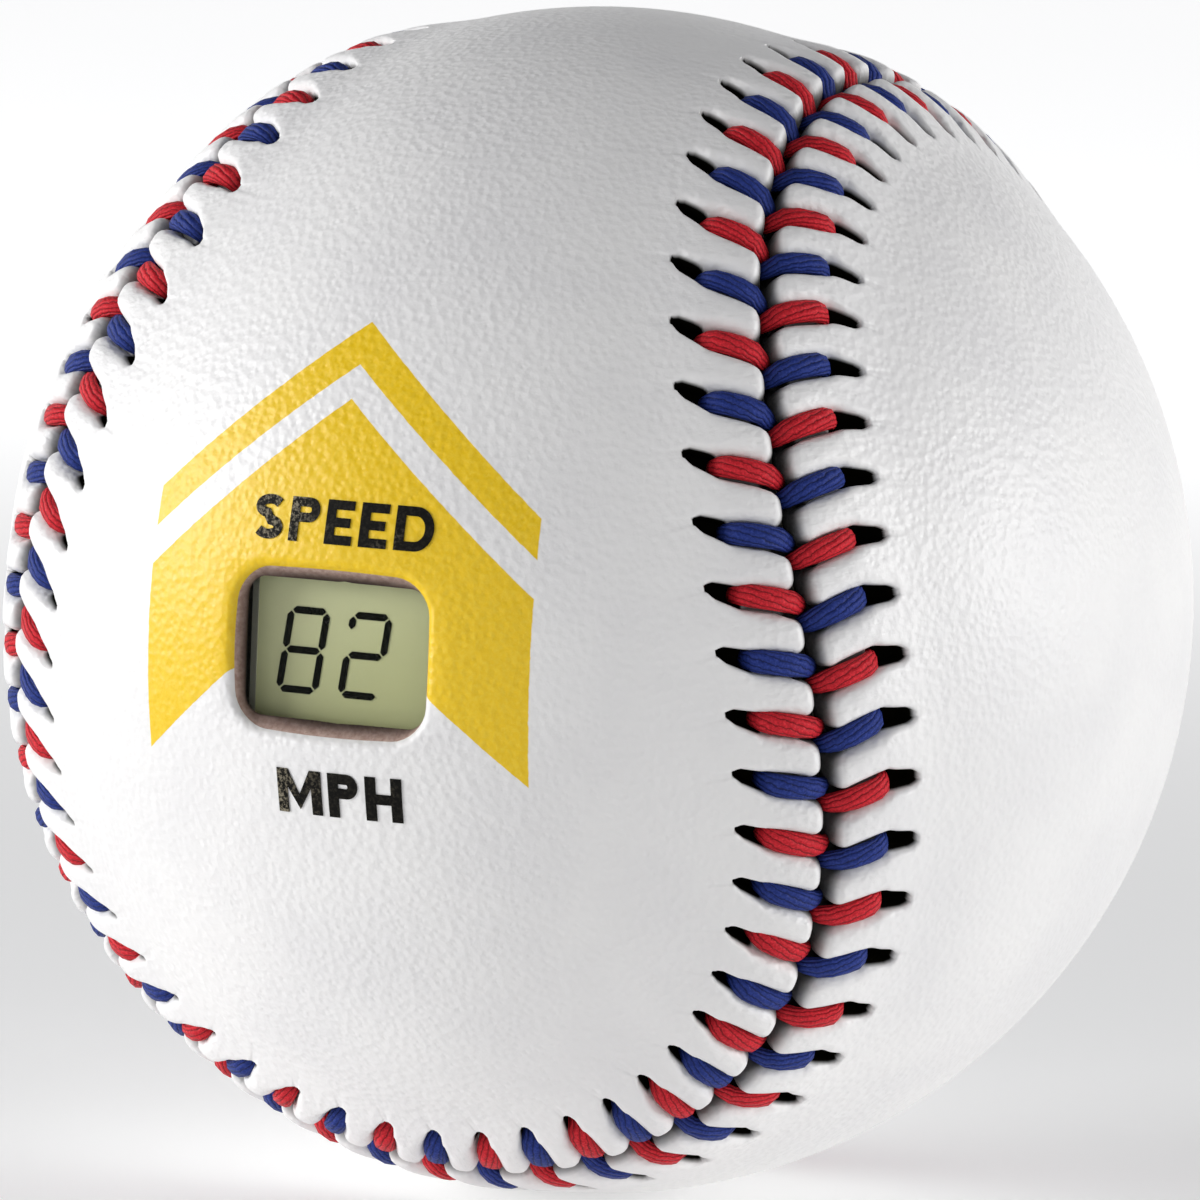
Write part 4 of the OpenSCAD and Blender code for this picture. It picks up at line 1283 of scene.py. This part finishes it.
def pale_floor():
    """Matt white floor, lit from within so that it meets the white room without an edge."""
    reach = FLOOR_REACH
    floor = make_object("floor", [(-reach, -reach, -BALL_R), (reach, -reach, -BALL_R),
                                  (reach, reach, -BALL_R), (-reach, reach, -BALL_R)], [(0, 1, 2, 3)])
    material, tree, shader = new_material("pale_floor")
    point = add(tree, "ShaderNodeTexCoord").outputs["Object"]
    flat = add(tree, "ShaderNodeVectorMath", (point, (1.0, 1.0, 0.0)), operation="MULTIPLY")
    far = add(tree, "ShaderNodeVectorMath", (flat,), operation="LENGTH").outputs["Value"]
    glow = add(tree, "ShaderNodeMapRange", (far, 0.12, 0.7, 0.28, 0.72), **SOFT_STEP)
    feed(tree, shader, {"Base Color": linear("E8E8E8"), "Roughness": 0.9, "Emission Color": linear("FFFFFF"),
                        "Emission Strength": glow})
    floor.data.materials.append(material)
    return floor


def stand_camera():
    """Camera that looks at the middle of the ball, tilted a little."""
    camera = bpy.data.objects.new("camera", bpy.data.cameras.new("camera"))
    bpy.context.scene.collection.objects.link(camera)
    camera.data.lens = CAMERA_LENS
    camera.data.sensor_width = 36.0
    camera.data.clip_start, camera.data.clip_end = 0.01, 50.0
    a, roll = math.radians(CAMERA_AZIMUTH), math.radians(CAMERA_ROLL)
    back = towards(CAMERA_AZIMUTH, CAMERA_ELEVATION)
    level = Vector((math.cos(a), math.sin(a), 0.0))
    right = level * math.cos(roll) + back.cross(level) * math.sin(roll)
    turned = Matrix((right, back.cross(right), back)).transposed().to_4x4()
    camera.matrix_world = Matrix.Translation(back * CAMERA_DISTANCE * MM) @ turned
    return camera


class BALL_OT_stage(bpy.types.Operator):
    """Pale floor, soft studio light and the camera"""
    bl_idname = "ball.stage"
    bl_label = "Stage"

    def execute(self, context):
        context.scene.view_settings.view_transform = "Standard"
        context.scene.world = studio_world()
        pale_floor()
        soft_light("key_left", -61, 10, 1.5, 0.78, 18.8)
        soft_light("rim_right", 109, 8, 1.5, 0.72, 12.5)
        context.scene.camera = stand_camera()
        return {"FINISHED"}


class BALL_PT_panel(bpy.types.Panel):
    """Steps of the build, in order"""
    bl_label = "Speed-sensing baseball"
    bl_space_type = "VIEW_3D"
    bl_region_type = "UI"
    bl_category = "Ball"

    def draw(self, context):
        for operator in OPERATORS:
            self.layout.operator(operator.bl_idname)
        for group in (context.scene.ball_sizes, context.scene.ball_colours):
            for name in group.__annotations__:
                self.layout.prop(group, name)


OPERATORS = (BALL_OT_display_cover, BALL_OT_plain_cover, BALL_OT_stitches, BALL_OT_legends, BALL_OT_display,
             BALL_OT_module, BALL_OT_springs, BALL_OT_stage)
CLASSES = (BallSizes, BallColours) + OPERATORS + (BALL_PT_panel,)


def register():
    for item in CLASSES:
        bpy.utils.register_class(item)
    bpy.types.Scene.ball_sizes = bpy.props.PointerProperty(type=BallSizes)
    bpy.types.Scene.ball_colours = bpy.props.PointerProperty(type=BallColours)


def unregister():
    del bpy.types.Scene.ball_colours
    del bpy.types.Scene.ball_sizes
    for item in reversed(CLASSES):
        bpy.utils.unregister_class(item)


def main():
    register()
    for operator in OPERATORS:
        group, name = operator.bl_idname.split(".")
        getattr(getattr(bpy.ops, group), name)()


if __name__ == "__main__":
    main()
